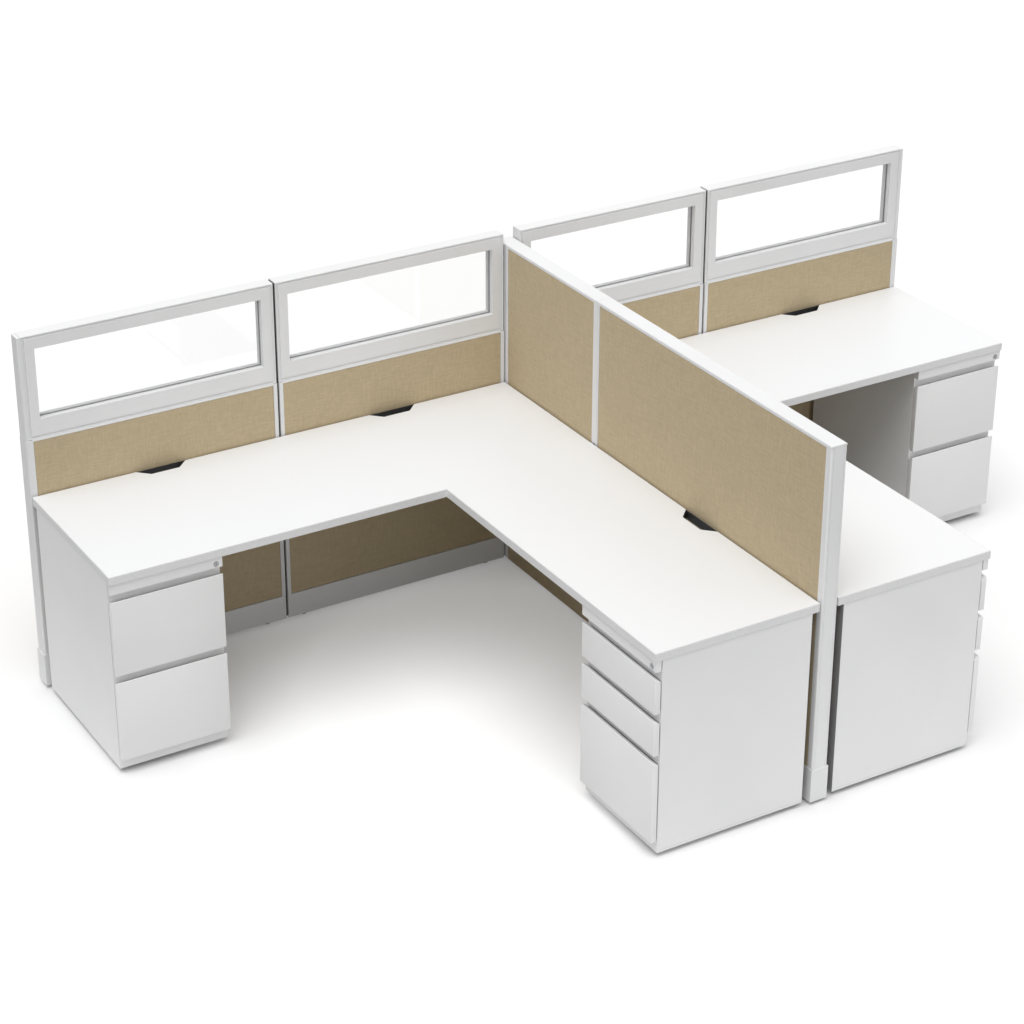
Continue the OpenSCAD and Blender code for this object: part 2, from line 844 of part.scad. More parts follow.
module worktop_right() {
    color(white_laminate) placed() difference() {
        right_desk() worktop_body(right_inner_len, right_outer_len);
        at_right_screws() screw_hole();
    }
}

module edge_bands() {
    color(band_white) placed() {
        left_desk() worktop_band(left_inner_len, left_outer_len);
        right_desk() worktop_band(right_inner_len, right_outer_len);
    }
}

// The liners of one worktop's notches: rings as high as the worktop
module liner(outer, inner) {
    translate([0, 0, worktop_bottom]) linear_extrude(worktop_t) difference() {
        polygon(outer);
        polygon(inner);
    }
}

module desk_liners(inner_len, outer_len) {
    for (c = spine_notches(inner_len, outer_len)) liner(notch_points(c), liner_points(c));
    liner(swapped(notch_points(wing_notch)), swapped(liner_points(wing_notch)));
}

module notch_liners() {
    color(dark_plastic) placed() {
        left_desk() desk_liners(left_inner_len, left_outer_len);
        right_desk() desk_liners(right_inner_len, right_outer_len);
    }
}

// A blind hole up into a worktop
module screw_hole() {
    translate([0, 0, worktop_bottom - over])
        cylinder(h = screw_hole_depth + over, r = screw_r + screw_pilot_clear);
}

// A screw whose head lies against a sheet of the given thickness under the worktop
module worktop_screw(sheet) {
    translate([0, 0, worktop_bottom - sheet - screw_head_h]) cylinder(h = screw_head_h, r = screw_head_r);
    translate([0, 0, worktop_bottom - sheet]) cylinder(h = sheet + screw_grip, r = screw_r);
}

// Brackets

// Where a bracket hangs: on the painted edge that starts a panel, [inner spine, outer spine, wing]
bracket_on_edge = (frame_edge_w - bracket_t) / 2;
function bracket_start(panel_start) = panel_start + bracket_on_edge;

// A bracket in a run's frame, on the face at -y: web, flange under the worktop and hook plate
module bracket() {
    top = worktop_bottom;
    flange_y = worktop_gap + band_t;
    difference() {
        union() {
            translate([bracket_t, 0, 0]) rotate([90, 0, -90]) linear_extrude(bracket_t) polygon([
                [0, top - bracket_h], [0, top - bracket_t], [flange_y, top],
                [bracket_reach, top], [bracket_reach, top - bracket_tip_h]
            ]);
            translate([0, -bracket_reach, top - bracket_t])
                cube([bracket_flange_w, bracket_reach - flange_y, bracket_t]);
            translate([-bracket_on_edge, -bracket_t, top - bracket_h])
                cube([frame_edge_w, bracket_t, bracket_h - bracket_t]);
        }
        at_bracket_screws() translate([0, 0, top - bracket_t - over])
            cylinder(h = bracket_t + 2 * over, r = screw_r + screw_hole_clear);
    }
}

module at_bracket_screws() {
    for (share = bracket_screw_shares)
        translate([bracket_flange_w / 2 + bracket_t / 2, -bracket_reach * share, 0]) children();
}

// Places its children at each bracket of a side
module at_left_brackets() {
    for (start = [panel_gap / 2, left_inner_len + panel_gap / 2])
        left_spine() translate([bracket_start(start), -panel_half, 0]) children();
    wing() translate([bracket_start(wing_inner_len + panel_gap / 2), -panel_half, 0]) children();
}

module at_right_brackets() {
    for (start = [panel_gap / 2, right_inner_len + panel_gap / 2])
        right_spine() translate([bracket_start(start), -panel_half, 0]) children();
    wing() mirror([0, 1, 0])
        translate([bracket_start(wing_inner_len + panel_gap / 2), -panel_half, 0]) children();
}

module worktop_brackets() {
    color(case_paint) placed() {
        at_left_brackets() bracket();
        at_right_brackets() bracket();
    }
}

// Screws of one desk: two in each bracket and four in the top of each pedestal
module at_left_screws() {
    at_left_brackets() at_bracket_screws() children();
    at_left_file() at_ped_screws(file_ped_w, file_ped_depth) children();
    at_left_box() at_ped_screws(box_ped_w, box_ped_depth) children();
}

module at_right_screws() {
    at_right_brackets() at_bracket_screws() children();
    at_right_file() at_ped_screws(file_ped_w, file_ped_depth) children();
    at_right_box() at_ped_screws(box_ped_w, box_ped_depth) children();
}

module at_ped_screws(w, d) {
    for (x = [ped_screw_inset_x, w - ped_screw_inset_x])
        for (y = [ped_screw_inset_y, d - ped_screw_inset_y])
            translate([x, y, 0]) children();
}

module worktop_screws() {
    color(bare_steel) placed() {
        at_left_brackets() at_bracket_screws() worktop_screw(bracket_t);
        at_right_brackets() at_bracket_screws() worktop_screw(bracket_t);
        at_left_file() at_ped_screws(file_ped_w, file_ped_depth) worktop_screw(case_sheet_t);
        at_right_file() at_ped_screws(file_ped_w, file_ped_depth) worktop_screw(case_sheet_t);
        at_left_box() at_ped_screws(box_ped_w, box_ped_depth) worktop_screw(case_sheet_t);
        at_right_box() at_ped_screws(box_ped_w, box_ped_depth) worktop_screw(case_sheet_t);
    }
}

// Pedestals

file_front_y = -panel_half - worktop_edge_spine + ped_front_inset;
box_front_x = panel_half + worktop_edge_wing - ped_front_inset;
box_end_y = -panel_half - wing_worktop_end + ped_end_inset;
left_file_x = -panel_half - left_run - end_trim_t + worktop_end_inset + ped_end_inset;
right_file_x = panel_half + right_run + end_trim_t - worktop_end_inset - ped_end_inset - file_ped_w;

module at_left_file() {
    translate([left_file_x, file_front_y, 0]) children();
}

module at_right_file() {
    translate([right_file_x, file_front_y, 0]) children();
}

module at_left_box() {
    translate([-box_front_x, box_end_y + box_ped_w, 0]) rotate([0, 0, -90]) children();
}

module at_right_box() {
    translate([box_front_x, box_end_y, 0]) rotate([0, 0, 90]) children();
}

// Finger gaps of a pedestal as [bottom, top]: the cross rails lie behind them
file_gaps = [[lower_front_top, upper_front_z]];
box_gaps = [[lower_front_top, upper_front_z], [upper_front_z + box_front_h, box_top_front_z]];

// Drawers of a pedestal as [bottom of the front, height of the front, holds files]
file_upper = [upper_front_z, upper_front_h, true];
lower = [toe_h, lower_front_h, true];
box_top = [box_top_front_z, box_front_h, false];
box_middle = [upper_front_z, box_front_h, false];
file_drawers = [file_upper, lower];
box_drawers = [box_top, box_middle, lower];

function drawer_bottom(drawer) = drawer[0] + drawer_rise;
function drawer_top(drawer) = drawer[0] + drawer[1] - drawer_rise;
function tab_z(drawer) = drawer_top(drawer) - tab_drop;

// One side of a case, with the toe base's seat and the flange line near its foot
module case_side(d) {
    difference() {
        translate([0, case_front, case_floor_gap])
            cube([case_side_t, d - case_front, ped_top - case_floor_gap]);
        translate([-over, case_front - over, case_floor_gap - over])
            cube([case_side_t + 2 * over, case_sheet_t + over, toe_h - case_floor_gap + over]);
        translate([-over, case_front + case_sheet_t, flange_line_z])
            cube([over + flange_line, d - case_front - case_sheet_t + over, flange_line]);
    }
}

module pedestal_case(w, d, gaps) {
    inner_w = w - 2 * case_side_t;
    difference() {
        union() {
            case_side(d);
            translate([w, 0, 0]) mirror([1, 0, 0]) case_side(d);
            translate([case_side_t, d - case_sheet_t, case_floor_gap])
                cube([inner_w, case_sheet_t, ped_top - case_floor_gap]);
            translate([case_side_t, case_front + case_sheet_t, toe_h - case_sheet_t])
                cube([inner_w, d - case_front - 2 * case_sheet_t, case_sheet_t]);
            translate([case_side_t, case_front, ped_top - case_sheet_t])
                cube([inner_w, d - case_front - case_sheet_t, case_sheet_t]);
            translate([case_side_t, case_front, top_front_top - cross_rail_lap])
                cube([inner_w, cross_rail_t, ped_top - top_front_top + cross_rail_lap]);
            for (gap = gaps)
                translate([case_side_t, case_front, gap[0] - cross_rail_lap])
                    cube([inner_w, cross_rail_t, gap[1] - gap[0] + 2 * cross_rail_lap]);
        }
        translate([w - lock_inset, case_front - over, lock_z]) rotate([-90, 0, 0])
            cylinder(h = cross_rail_t + 2 * over, r = barrel_r + lock_clear);
        translate([w - case_side_t - over, bar_strip_y - bar_clear, bar_bottom - bar_clear])
            cube([over + 2 * bar_clear + bar_t, bar_w + 2 * bar_clear, bar_channel_top - bar_bottom]);
        at_ped_glides(w, d) translate([0, 0, toe_h - case_sheet_t - over])
            cylinder(h = case_sheet_t + 2 * over, r = glide_stud_r + glide_clear);
        at_ped_screws(w, d) translate([0, 0, ped_top - case_sheet_t - over])
            cylinder(h = case_sheet_t + 2 * over, r = screw_r + screw_hole_clear);
    }
}

// The bar's channel ends above the bar's highest place, and the bar's head stops below it
bar_channel_top = lock_z + bar_head_h;

module at_ped_glides(w, d) {
    for (x = [ped_glide_inset_x, w - ped_glide_inset_x])
        for (y = [case_front + ped_glide_inset_y, d - ped_glide_inset_y])
            translate([x, y, 0]) children();
}

module case_left_file() {
    color(case_paint) placed() at_left_file() pedestal_case(file_ped_w, file_ped_depth, file_gaps);
}

module case_left_box() {
    color(case_paint) placed() at_left_box() pedestal_case(box_ped_w, box_ped_depth, box_gaps);
}

module case_right_file() {
    color(case_paint) placed() at_right_file() pedestal_case(file_ped_w, file_ped_depth, file_gaps);
}

module case_right_box() {
    color(case_paint) placed() at_right_box() pedestal_case(box_ped_w, box_ped_depth, box_gaps);
}

// The overlaid rail under the worktop, set on the case between its sides, with the lock's hole
module front_rail(w) {
    difference() {
        union() {
            translate([0, 0, ped_top - front_rail_h]) cube([w, front_t, front_rail_h]);
            translate([rail_relief_x, front_t, ped_top - front_rail_h])
                cube([w - 2 * rail_relief_x, front_gap_y, front_rail_h]);
        }
        translate([w - lock_inset, -over, lock_z]) rotate([-90, 0, 0])
            cylinder(h = case_front + 2 * over, r = barrel_r + lock_clear);
    }
}

module front_rails() {
    color(case_paint) placed() {
        at_left_file() front_rail(file_ped_w);
        at_right_file() front_rail(file_ped_w);
        at_left_box() front_rail(box_ped_w);
        at_right_box() front_rail(box_ped_w);
    }
}

// The plate below the lowest drawer, let into the case's sides
module toe_base(w) {
    translate([0, case_front, case_floor_gap]) cube([w, case_sheet_t, toe_h - case_floor_gap]);
}

module toe_bases() {
    color(case_paint) placed() {
        at_left_file() toe_base(file_ped_w);
        at_right_file() toe_base(file_ped_w);
        at_left_box() toe_base(box_ped_w);
        at_right_box() toe_base(box_ped_w);
    }
}

module pedestal_glides() {
    stud_top = toe_h + drawer_rise / 2;
    color(dark_plastic) placed() {
        at_left_file() at_ped_glides(file_ped_w, file_ped_depth) glide(stud_top);
        at_right_file() at_ped_glides(file_ped_w, file_ped_depth) glide(stud_top);
        at_left_box() at_ped_glides(box_ped_w, box_ped_depth) glide(stud_top);
        at_right_box() at_ped_glides(box_ped_w, box_ped_depth) glide(stud_top);
    }
}

// Runners

function drawer_len(d) = d - case_sheet_t - drawer_back_clear - front_t;
function runner_len(d) = d - case_sheet_t - drawer_back_clear - runner_start;

// The fixed channel on a case's side, open towards the drawer
module fixed_runner(d) {
    translate([0, runner_start, 0]) {
        cube([runner_sheet, runner_len(d), runner_h]);
        for (z = [0, runner_h - runner_sheet])
            translate([0, 0, z]) cube([runner_reach, runner_len(d), runner_sheet]);
    }
}

// The moving member on the drawer's side, whose lips run inside the fixed channel
module moving_runner(d) {
    lip_z = runner_sheet + runner_clear;
    member_h = runner_h - 2 * lip_z;
    member_x = runner_space - member_seat_gap;
    translate([0, runner_start, lip_z]) {
        translate([member_x - runner_sheet, 0, 0]) cube([runner_sheet, runner_len(d), member_h]);
        for (z = [0, member_h - runner_sheet])
            translate([tongue_reach, 0, z]) cube([member_x - tongue_reach, runner_len(d), runner_sheet]);
    }
}

// Places its children at both sides of a drawer's opening, x towards the drawer
module at_runner_seats(w, drawer) {
    translate([case_side_t, 0, drawer_bottom(drawer) + runner_rise]) children();
    translate([w - case_side_t, 0, drawer_bottom(drawer) + runner_rise]) mirror([1, 0, 0]) children();
}

module drawer_runners() {
    color(bare_steel) placed() {
        for (drawer = file_drawers) {
            at_left_file() at_runner_seats(file_ped_w, drawer) fixed_runner(file_ped_depth);
            at_right_file() at_runner_seats(file_ped_w, drawer) fixed_runner(file_ped_depth);
        }
        for (drawer = box_drawers) {
            at_left_box() at_runner_seats(box_ped_w, drawer) fixed_runner(box_ped_depth);
            at_right_box() at_runner_seats(box_ped_w, drawer) fixed_runner(box_ped_depth);
        }
    }
}

// Drawers

// A drawer front, whose top slopes back and down to make the pull
module drawer_front(w, drawer) {
    h = drawer[1];
    translate([0, 0, drawer[0]]) rotate([90, 0, 90]) linear_extrude(w) polygon([
        [0, 0], [front_t, 0], [front_t, h - pull_drop], [pull_lip, h], [0, h]
    ]);
}

// A drawer box with its lock tab, the rails for hanging files and both moving runners
module drawer_box(w, d, drawer) {
    box_w = w - 2 * drawer_side;
    box_len = drawer_len(d);
    bottom = drawer_bottom(drawer);
    box_h = drawer_top(drawer) - bottom;
    inner_w = box_w - 2 * drawer_sheet;
    translate([drawer_side, front_t, bottom]) {
        difference() {
            cube([box_w, box_len, box_h]);
            translate([drawer_sheet, drawer_sheet, drawer_sheet])
                cube([inner_w, box_len - 2 * drawer_sheet, box_h]);
        }
        if (drawer[2])
            for (x = [drawer_sheet, box_w - drawer_sheet - file_rail_w])
                translate([x, drawer_sheet, box_h - drawer_sheet])
                    cube([file_rail_w, box_len - 2 * drawer_sheet, drawer_sheet]);
    }
    translate([w - drawer_side, tab_y, tab_z(drawer)])
        cube([runner_space - tab_wall_clear, tab_t, tab_h]);
    at_runner_seats(w, drawer) moving_runner(d);
}

module front_left_file_upper() {
    color(case_paint) placed() at_left_file() drawer_front(file_ped_w, file_upper);
}

module front_left_file_lower() {
    color(case_paint) placed() at_left_file() drawer_front(file_ped_w, lower);
}

module front_left_box_top() {
    color(case_paint) placed() at_left_box() drawer_front(box_ped_w, box_top);
}

module front_left_box_middle() {
    color(case_paint) placed() at_left_box() drawer_front(box_ped_w, box_middle);
}

module front_left_box_lower() {
    color(case_paint) placed() at_left_box() drawer_front(box_ped_w, lower);
}

module front_right_file_upper() {
    color(case_paint) placed() at_right_file() drawer_front(file_ped_w, file_upper);
}

module front_right_file_lower() {
    color(case_paint) placed() at_right_file() drawer_front(file_ped_w, lower);
}

module front_right_box_top() {
    color(case_paint) placed() at_right_box() drawer_front(box_ped_w, box_top);
}

module front_right_box_middle() {
    color(case_paint) placed() at_right_box() drawer_front(box_ped_w, box_middle);
}

module front_right_box_lower() {
    color(case_paint) placed() at_right_box() drawer_front(box_ped_w, lower);
}

module drawer_left_file_upper() {
    color(bare_steel) placed() at_left_file() drawer_box(file_ped_w, file_ped_depth, file_upper);
}

module drawer_left_file_lower() {
    color(bare_steel) placed() at_left_file() drawer_box(file_ped_w, file_ped_depth, lower);
}

module drawer_left_box_top() {
    color(bare_steel) placed() at_left_box() drawer_box(box_ped_w, box_ped_depth, box_top);
}

module drawer_left_box_middle() {
    color(bare_steel) placed() at_left_box() drawer_box(box_ped_w, box_ped_depth, box_middle);
}

module drawer_left_box_lower() {
    color(bare_steel) placed() at_left_box() drawer_box(box_ped_w, box_ped_depth, lower);
}

module drawer_right_file_upper() {
    color(bare_steel) placed() at_right_file() drawer_box(file_ped_w, file_ped_depth, file_upper);
}

module drawer_right_file_lower() {
    color(bare_steel) placed() at_right_file() drawer_box(file_ped_w, file_ped_depth, lower);
}

module drawer_right_box_top() {
    color(bare_steel) placed() at_right_box() drawer_box(box_ped_w, box_ped_depth, box_top);
}

module drawer_right_box_middle() {
    color(bare_steel) placed() at_right_box() drawer_box(box_ped_w, box_ped_depth, box_middle);
}

module drawer_right_box_lower() {
    color(bare_steel) placed() at_right_box() drawer_box(box_ped_w, box_ped_depth, lower);
}

// Locks

module at_lock(w) {
    translate([w - lock_inset, 0, lock_z]) rotate([-90, 0, 0]) children();
}

// The barrel: a flanged tube through the rail and the cross rail behind it
module lock_barrel() {
    difference() {
        union() {
            translate([0, 0, -barrel_flange_t]) cylinder(h = barrel_flange_t, r = barrel_r + barrel_flange);
            cylinder(h = barrel_back, r = barrel_r);
        }
        translate([0, 0, -barrel_flange_t - over])
            cylinder(h = barrel_back + barrel_flange_t + 2 * over, r = plug_r + lock_clear);
    }
}

module lock_barrels() {
    color(chrome_grey) placed() {
        at_left_file() at_lock(file_ped_w) lock_barrel();
        at_right_file() at_lock(file_ped_w) lock_barrel();
        at_left_box() at_lock(box_ped_w) lock_barrel();
        at_right_box() at_lock(box_ped_w) lock_barrel();
    }
}

// The plug with its key slot, cam and drive pin, in the lock's frame: z into the case, y down
module lock_plug() {
    front = -barrel_flange_t - plug_proud;
    difference() {
        translate([0, 0, front]) cylinder(h = plug_back - front, r = plug_r);
        translate([-key_slot_w / 2, -key_slot_h / 2, front - over])
            cube([key_slot_w, key_slot_h, key_slot_depth + over]);
    }
    translate([0, 0, plug_back]) cylinder(h = cam_t, r = cam_r);
    translate([pin_orbit * cos(pin_rest_angle), -pin_orbit * sin(pin_rest_angle), plug_back + cam_t])
        cylinder(h = bar_head_y - plug_back - cam_t + bar_t, r = pin_r);
}

module plug_left_file() {
    color(chrome_grey) placed() at_left_file() at_lock(file_ped_w) lock_plug();
}

module plug_left_box() {
    color(chrome_grey) placed() at_left_box() at_lock(box_ped_w) lock_plug();
}

module plug_right_file() {
    color(chrome_grey) placed() at_right_file() at_lock(file_ped_w) lock_plug();
}

module plug_right_box() {
    color(chrome_grey) placed() at_right_box() at_lock(box_ped_w) lock_plug();
}

// The tab of a closed drawer lies behind the bar's finger
tab_y = bar_strip_y + finger_t + tab_finger_clear;
pin_rest_z = lock_z - pin_rise / 2;

// The gang-lock bar: a strip in the side's channel, a slotted head and a finger under each tab
module lock_bar(w, drawers) {
    strip_x = w - case_side_t + bar_clear;
    head_x = w - lock_inset - pin_orbit - pin_r - bar_head_margin;
    head_z = pin_rest_z - bar_head_h / 2;
    slot_x = w - lock_inset - pin_orbit - pin_r - pin_clear;
    slot_w = pin_slot_travel + 2 * pin_r + 2 * pin_clear;
    slot_h = 2 * pin_r + 2 * pin_clear;
    translate([strip_x, bar_strip_y, bar_bottom]) cube([bar_t, bar_w, head_z + bar_head_h - bar_bottom]);
    difference() {
        translate([head_x, bar_head_y, head_z]) cube([strip_x + bar_t - head_x, bar_t, bar_head_h]);
        translate([slot_x, bar_head_y - over, pin_rest_z - slot_h / 2])
            cube([slot_w, bar_t + 2 * over, slot_h]);
    }
    for (drawer = drawers)
        translate([strip_x - bar_clear - finger_reach, bar_strip_y, tab_z(drawer) - finger_drop - finger_h])
            cube([finger_reach + bar_clear + bar_t / 2, finger_t, finger_h]);
}

module bar_left_file() {
    color(bare_steel) placed() at_left_file() lock_bar(file_ped_w, file_drawers);
}

module bar_left_box() {
    color(bare_steel) placed() at_left_box() lock_bar(box_ped_w, box_drawers);
}

module bar_right_file() {
    color(bare_steel) placed() at_right_file() lock_bar(file_ped_w, file_drawers);
}

module bar_right_box() {
    color(bare_steel) placed() at_right_box() lock_bar(box_ped_w, box_drawers);
}

worktop_left();
worktop_right();
edge_bands();
notch_liners();
worktop_brackets();
worktop_screws();
spine_frames_left();
spine_frames_right();
wing_frames();
panel_cores();
window_frames_left();
window_frames_right();
glass_panes();
glazing_gaskets();
spine_tiles();
wing_tiles();
wing_top_caps();
base_covers();
end_trims();
base_shoes();
junction_post();
panel_connectors();
panel_glides();
case_left_file();
case_left_box();
case_right_file();
case_right_box();
front_rails();
toe_bases();
pedestal_glides();
drawer_runners();
lock_barrels();
plug_left_file();
plug_left_box();
plug_right_file();
plug_right_box();
bar_left_file();
bar_left_box();
bar_right_file();
bar_right_box();
front_left_file_upper();
front_left_file_lower();
front_left_box_top();
front_left_box_middle();
front_left_box_lower();
front_right_file_upper();
front_right_file_lower();
front_right_box_top();
front_right_box_middle();
front_right_box_lower();
drawer_left_file_upper();
drawer_left_file_lower();
drawer_left_box_top();
drawer_left_box_middle();
drawer_left_box_lower();
drawer_right_file_upper();
drawer_right_file_lower();
drawer_right_box_top();
drawer_right_box_middle();
drawer_right_box_lower();
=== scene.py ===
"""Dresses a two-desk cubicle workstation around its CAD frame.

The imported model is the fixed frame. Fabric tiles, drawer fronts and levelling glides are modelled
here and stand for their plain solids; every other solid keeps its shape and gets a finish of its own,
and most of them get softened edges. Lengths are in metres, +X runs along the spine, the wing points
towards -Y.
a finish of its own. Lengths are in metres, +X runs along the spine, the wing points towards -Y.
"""

import json
import logging
import math
from dataclasses import dataclass, field, replace
from enum import Enum
from typing import Callable

import bmesh
import bpy
from mathutils import Matrix, Vector


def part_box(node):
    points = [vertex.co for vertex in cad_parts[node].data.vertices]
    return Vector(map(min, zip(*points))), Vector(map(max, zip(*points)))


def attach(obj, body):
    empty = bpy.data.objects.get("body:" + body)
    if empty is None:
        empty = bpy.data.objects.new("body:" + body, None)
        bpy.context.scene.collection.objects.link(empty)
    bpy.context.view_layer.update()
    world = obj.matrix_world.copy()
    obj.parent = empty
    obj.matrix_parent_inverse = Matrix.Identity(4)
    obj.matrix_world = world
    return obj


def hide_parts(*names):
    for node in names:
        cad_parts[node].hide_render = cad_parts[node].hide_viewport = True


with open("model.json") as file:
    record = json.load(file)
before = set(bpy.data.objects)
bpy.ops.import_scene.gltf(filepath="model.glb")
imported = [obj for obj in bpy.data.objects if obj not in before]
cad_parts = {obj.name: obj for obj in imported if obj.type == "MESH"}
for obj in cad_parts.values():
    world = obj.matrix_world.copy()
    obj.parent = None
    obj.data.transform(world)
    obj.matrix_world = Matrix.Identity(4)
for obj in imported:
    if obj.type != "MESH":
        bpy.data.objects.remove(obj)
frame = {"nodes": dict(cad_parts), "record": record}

LOG = logging.getLogger("workstation")
STATION = "station"
MM = 0.001
WHITE = (1.0, 1.0, 1.0)
# Corners of a CAD mesh that are nearer than this are one corner.
MERGE_DISTANCE = 0.005 * MM
# A face looks in a direction if the dot product of that and its normal is greater than this.
SAME_WAY = 0.9
# Range of a noise over which a mottled colour changes.
MOTTLE_SPAN = (0.3, 0.7)

Color = tuple[float, float, float]
Span = tuple[float, float]
Box = tuple[Vector, Vector]
Socket = bpy.types.NodeSocket


class Facing(Enum):
    """The way a drawer front faces, as the turn about Z from one that faces -Y."""

    FRONT = 0.0
    LEFT = -math.pi / 2
    RIGHT = math.pi / 2


@dataclass(frozen=True)
class Grain:
    """A fractal noise that a finish varies by.

    Attributes:
        scale: Waves in a metre.
        detail: Number of finer layers.
        stretch: Factor on the place along X, Y and Z, or nothing for an even noise.
    """

    scale: float
    detail: float
    stretch: tuple[float, float, float] | None = None


class Graph:
    """A node tree, with short calls that add nodes to it."""

    def __init__(self, tree: bpy.types.NodeTree) -> None:
        """Starts on a tree.

        Args:
            tree: Node tree of a material or of a world.
        """
        self.tree = tree

    def feed(self, target: Socket, value: object) -> None:
        """Gives an input a value, or joins it to another node's output.

        Args:
            target: The input.
            value: A socket, a number, a vector or a colour.
        """
        if isinstance(value, Socket):
            self.tree.links.new(value, target)
        elif target.type == "RGBA":
            target.default_value = (*value, 1.0)
        else:
            target.default_value = value

    def fill(self, node: bpy.types.Node, **inputs: object) -> None:
        """Feeds inputs of a node.

        Args:
            node: The node.
            **inputs: What each input gets, with underscores for the spaces in its name.
        """
        for key, value in inputs.items():
            self.feed(node.inputs[key.replace("_", " ")], value)

    def node(self, kind: str, **inputs: object) -> bpy.types.Node:
        """Adds a node.

        Args:
            kind: Blender's name of the node's type.
            **inputs: What each input gets, with underscores for the spaces in its name.

        Returns:
            The new node.
        """
        made = self.tree.nodes.new(kind)
        self.fill(made, **inputs)
        return made

    def place(self) -> Socket:
        """Returns the socket that gives a point's place on the object."""
        return self.node("ShaderNodeTexCoord").outputs["Object"]

    def axes(self, place: Socket) -> bpy.types.NodeOutputs:
        """Splits a place.

        Args:
            place: Socket that holds the place.

        Returns:
            The sockets X, Y and Z.
        """
        return self.node("ShaderNodeSeparateXYZ", Vector=place).outputs

    def math(self, operation: str, *values: object, kind: str = "ShaderNodeMath") -> Socket:
        """Adds a sum.

        Args:
            operation: Blender's name of the operation.
            *values: Sockets, or numbers or vectors.
            kind: Blender's name of the node's type.

        Returns:
            The socket with the result, which is one number.
        """
        made = self.tree.nodes.new(kind)
        made.operation = operation
        for target, value in zip(made.inputs, values):
            self.feed(target, value)
        return made.outputs["Value"]

    def vector_math(self, operation: str, *values: object) -> Socket:
        """Adds a sum of vectors whose result is one number.

        Args:
            operation: Blender's name of the operation.
            *values: Sockets or vectors.

        Returns:
            The socket with the result.
        """
        return self.math(operation, *values, kind="ShaderNodeVectorMath")

    def noise(self, place: Socket, grain: Grain) -> Socket:
        """Adds fractal noise.

        Args:
            place: Socket that holds the place.
            grain: The noise.

        Returns:
            The socket with values from 0 to 1.
        """
        if grain.stretch:
            place = self.node("ShaderNodeMapping", Vector=place, Scale=grain.stretch).outputs["Vector"]
        return self.node("ShaderNodeTexNoise", Vector=place, Scale=grain.scale,
                         Detail=grain.detail).outputs["Fac"]

    def blend(self, factor: Socket, first: Color, second: Color, span: Span) -> Socket:
        """Adds a change from one colour to another.

        Args:
            factor: Socket that steers the change.
            first: Colour where the factor is at or below the span.
            second: Colour where the factor is at or above the span.
            span: Start and end of the change.

        Returns:
            The socket with the colour.
        """
        ramp = self.node("ShaderNodeValToRGB", Fac=factor)
        for element, position, color in zip(ramp.color_ramp.elements, span, (first, second)):
            element.position = position
            element.color = (*color, 1.0)
        return ramp.outputs["Color"]

    def mix(self, factor: Socket, first: object, second: object) -> Socket:
        """Adds a choice between two colours.

        The node has sockets of each kind under the same names, so the colours are taken by index.

        Args:
            factor: Socket that is 0 for the first and 1 for the second.
            first: Socket or colour.
            second: Socket or colour.

        Returns:
            The socket with the colour.
        """
        made = self.tree.nodes.new("ShaderNodeMix")
        made.data_type = "RGBA"
        for index, value in ((0, factor), (6, first), (7, second)):
            self.feed(made.inputs[index], value)
        return made.outputs[2]

    def ranged(self, value: Socket, result: tuple[object, object], span: Span = (0.0, 1.0)) -> Socket:
        """Moves a value from one range to another.

        Args:
            value: Socket with the value.
            result: What the least and the greatest value become: numbers or sockets.
            span: Least and greatest value.

        Returns:
            The socket with the result.
        """
        return self.node("ShaderNodeMapRange", Value=value, From_Min=span[0], From_Max=span[1],
                         To_Min=result[0], To_Max=result[1]).outputs["Result"]

    def seen_rays(self) -> Socket:
        """Returns a socket that is 1 for rays that show the background: camera, glossy, transmission."""
        path = self.node("ShaderNodeLightPath").outputs
        direct = self.math("MAXIMUM", path["Is Camera Ray"], path["Is Glossy Ray"])
        return self.math("MAXIMUM", direct, path["Is Transmission Ray"])


class Paint(Graph):
    """A new material with one Principled surface."""

    def __init__(self, name: str) -> None:
        """Starts the material.

        Args:
            name: Name of the material.
        """
        self.material = bpy.data.materials.new(name)
        self.material.use_nodes = True
        super().__init__(self.material.node_tree)
        self.tree.nodes.clear()
        self.surface = self.node("ShaderNodeBsdfPrincipled")
        self.node("ShaderNodeOutputMaterial", Surface=self.surface.outputs["BSDF"])

    def coat(self, **inputs: object) -> None:
        """Feeds inputs of the surface.

        Args:
            **inputs: What each input gets, with underscores for the spaces in its name.
        """
        self.fill(self.surface, **inputs)

    def bump(self, height: Socket, strength: float, rise: float) -> None:
        """Raises the surface.

        Args:
            height: Socket with the height, from 0 to 1.
            strength: Share of the effect.
            rise: Height of a full rise.
        """
        raised = self.node("ShaderNodeBump", Strength=strength, Distance=rise, Height=height)
        self.coat(Normal=raised.outputs["Normal"])


def shade(color: Color, factor: float) -> Color:
    """Returns a colour made darker or lighter by a factor."""
    return tuple(min(1.0, channel * factor) for channel in color)


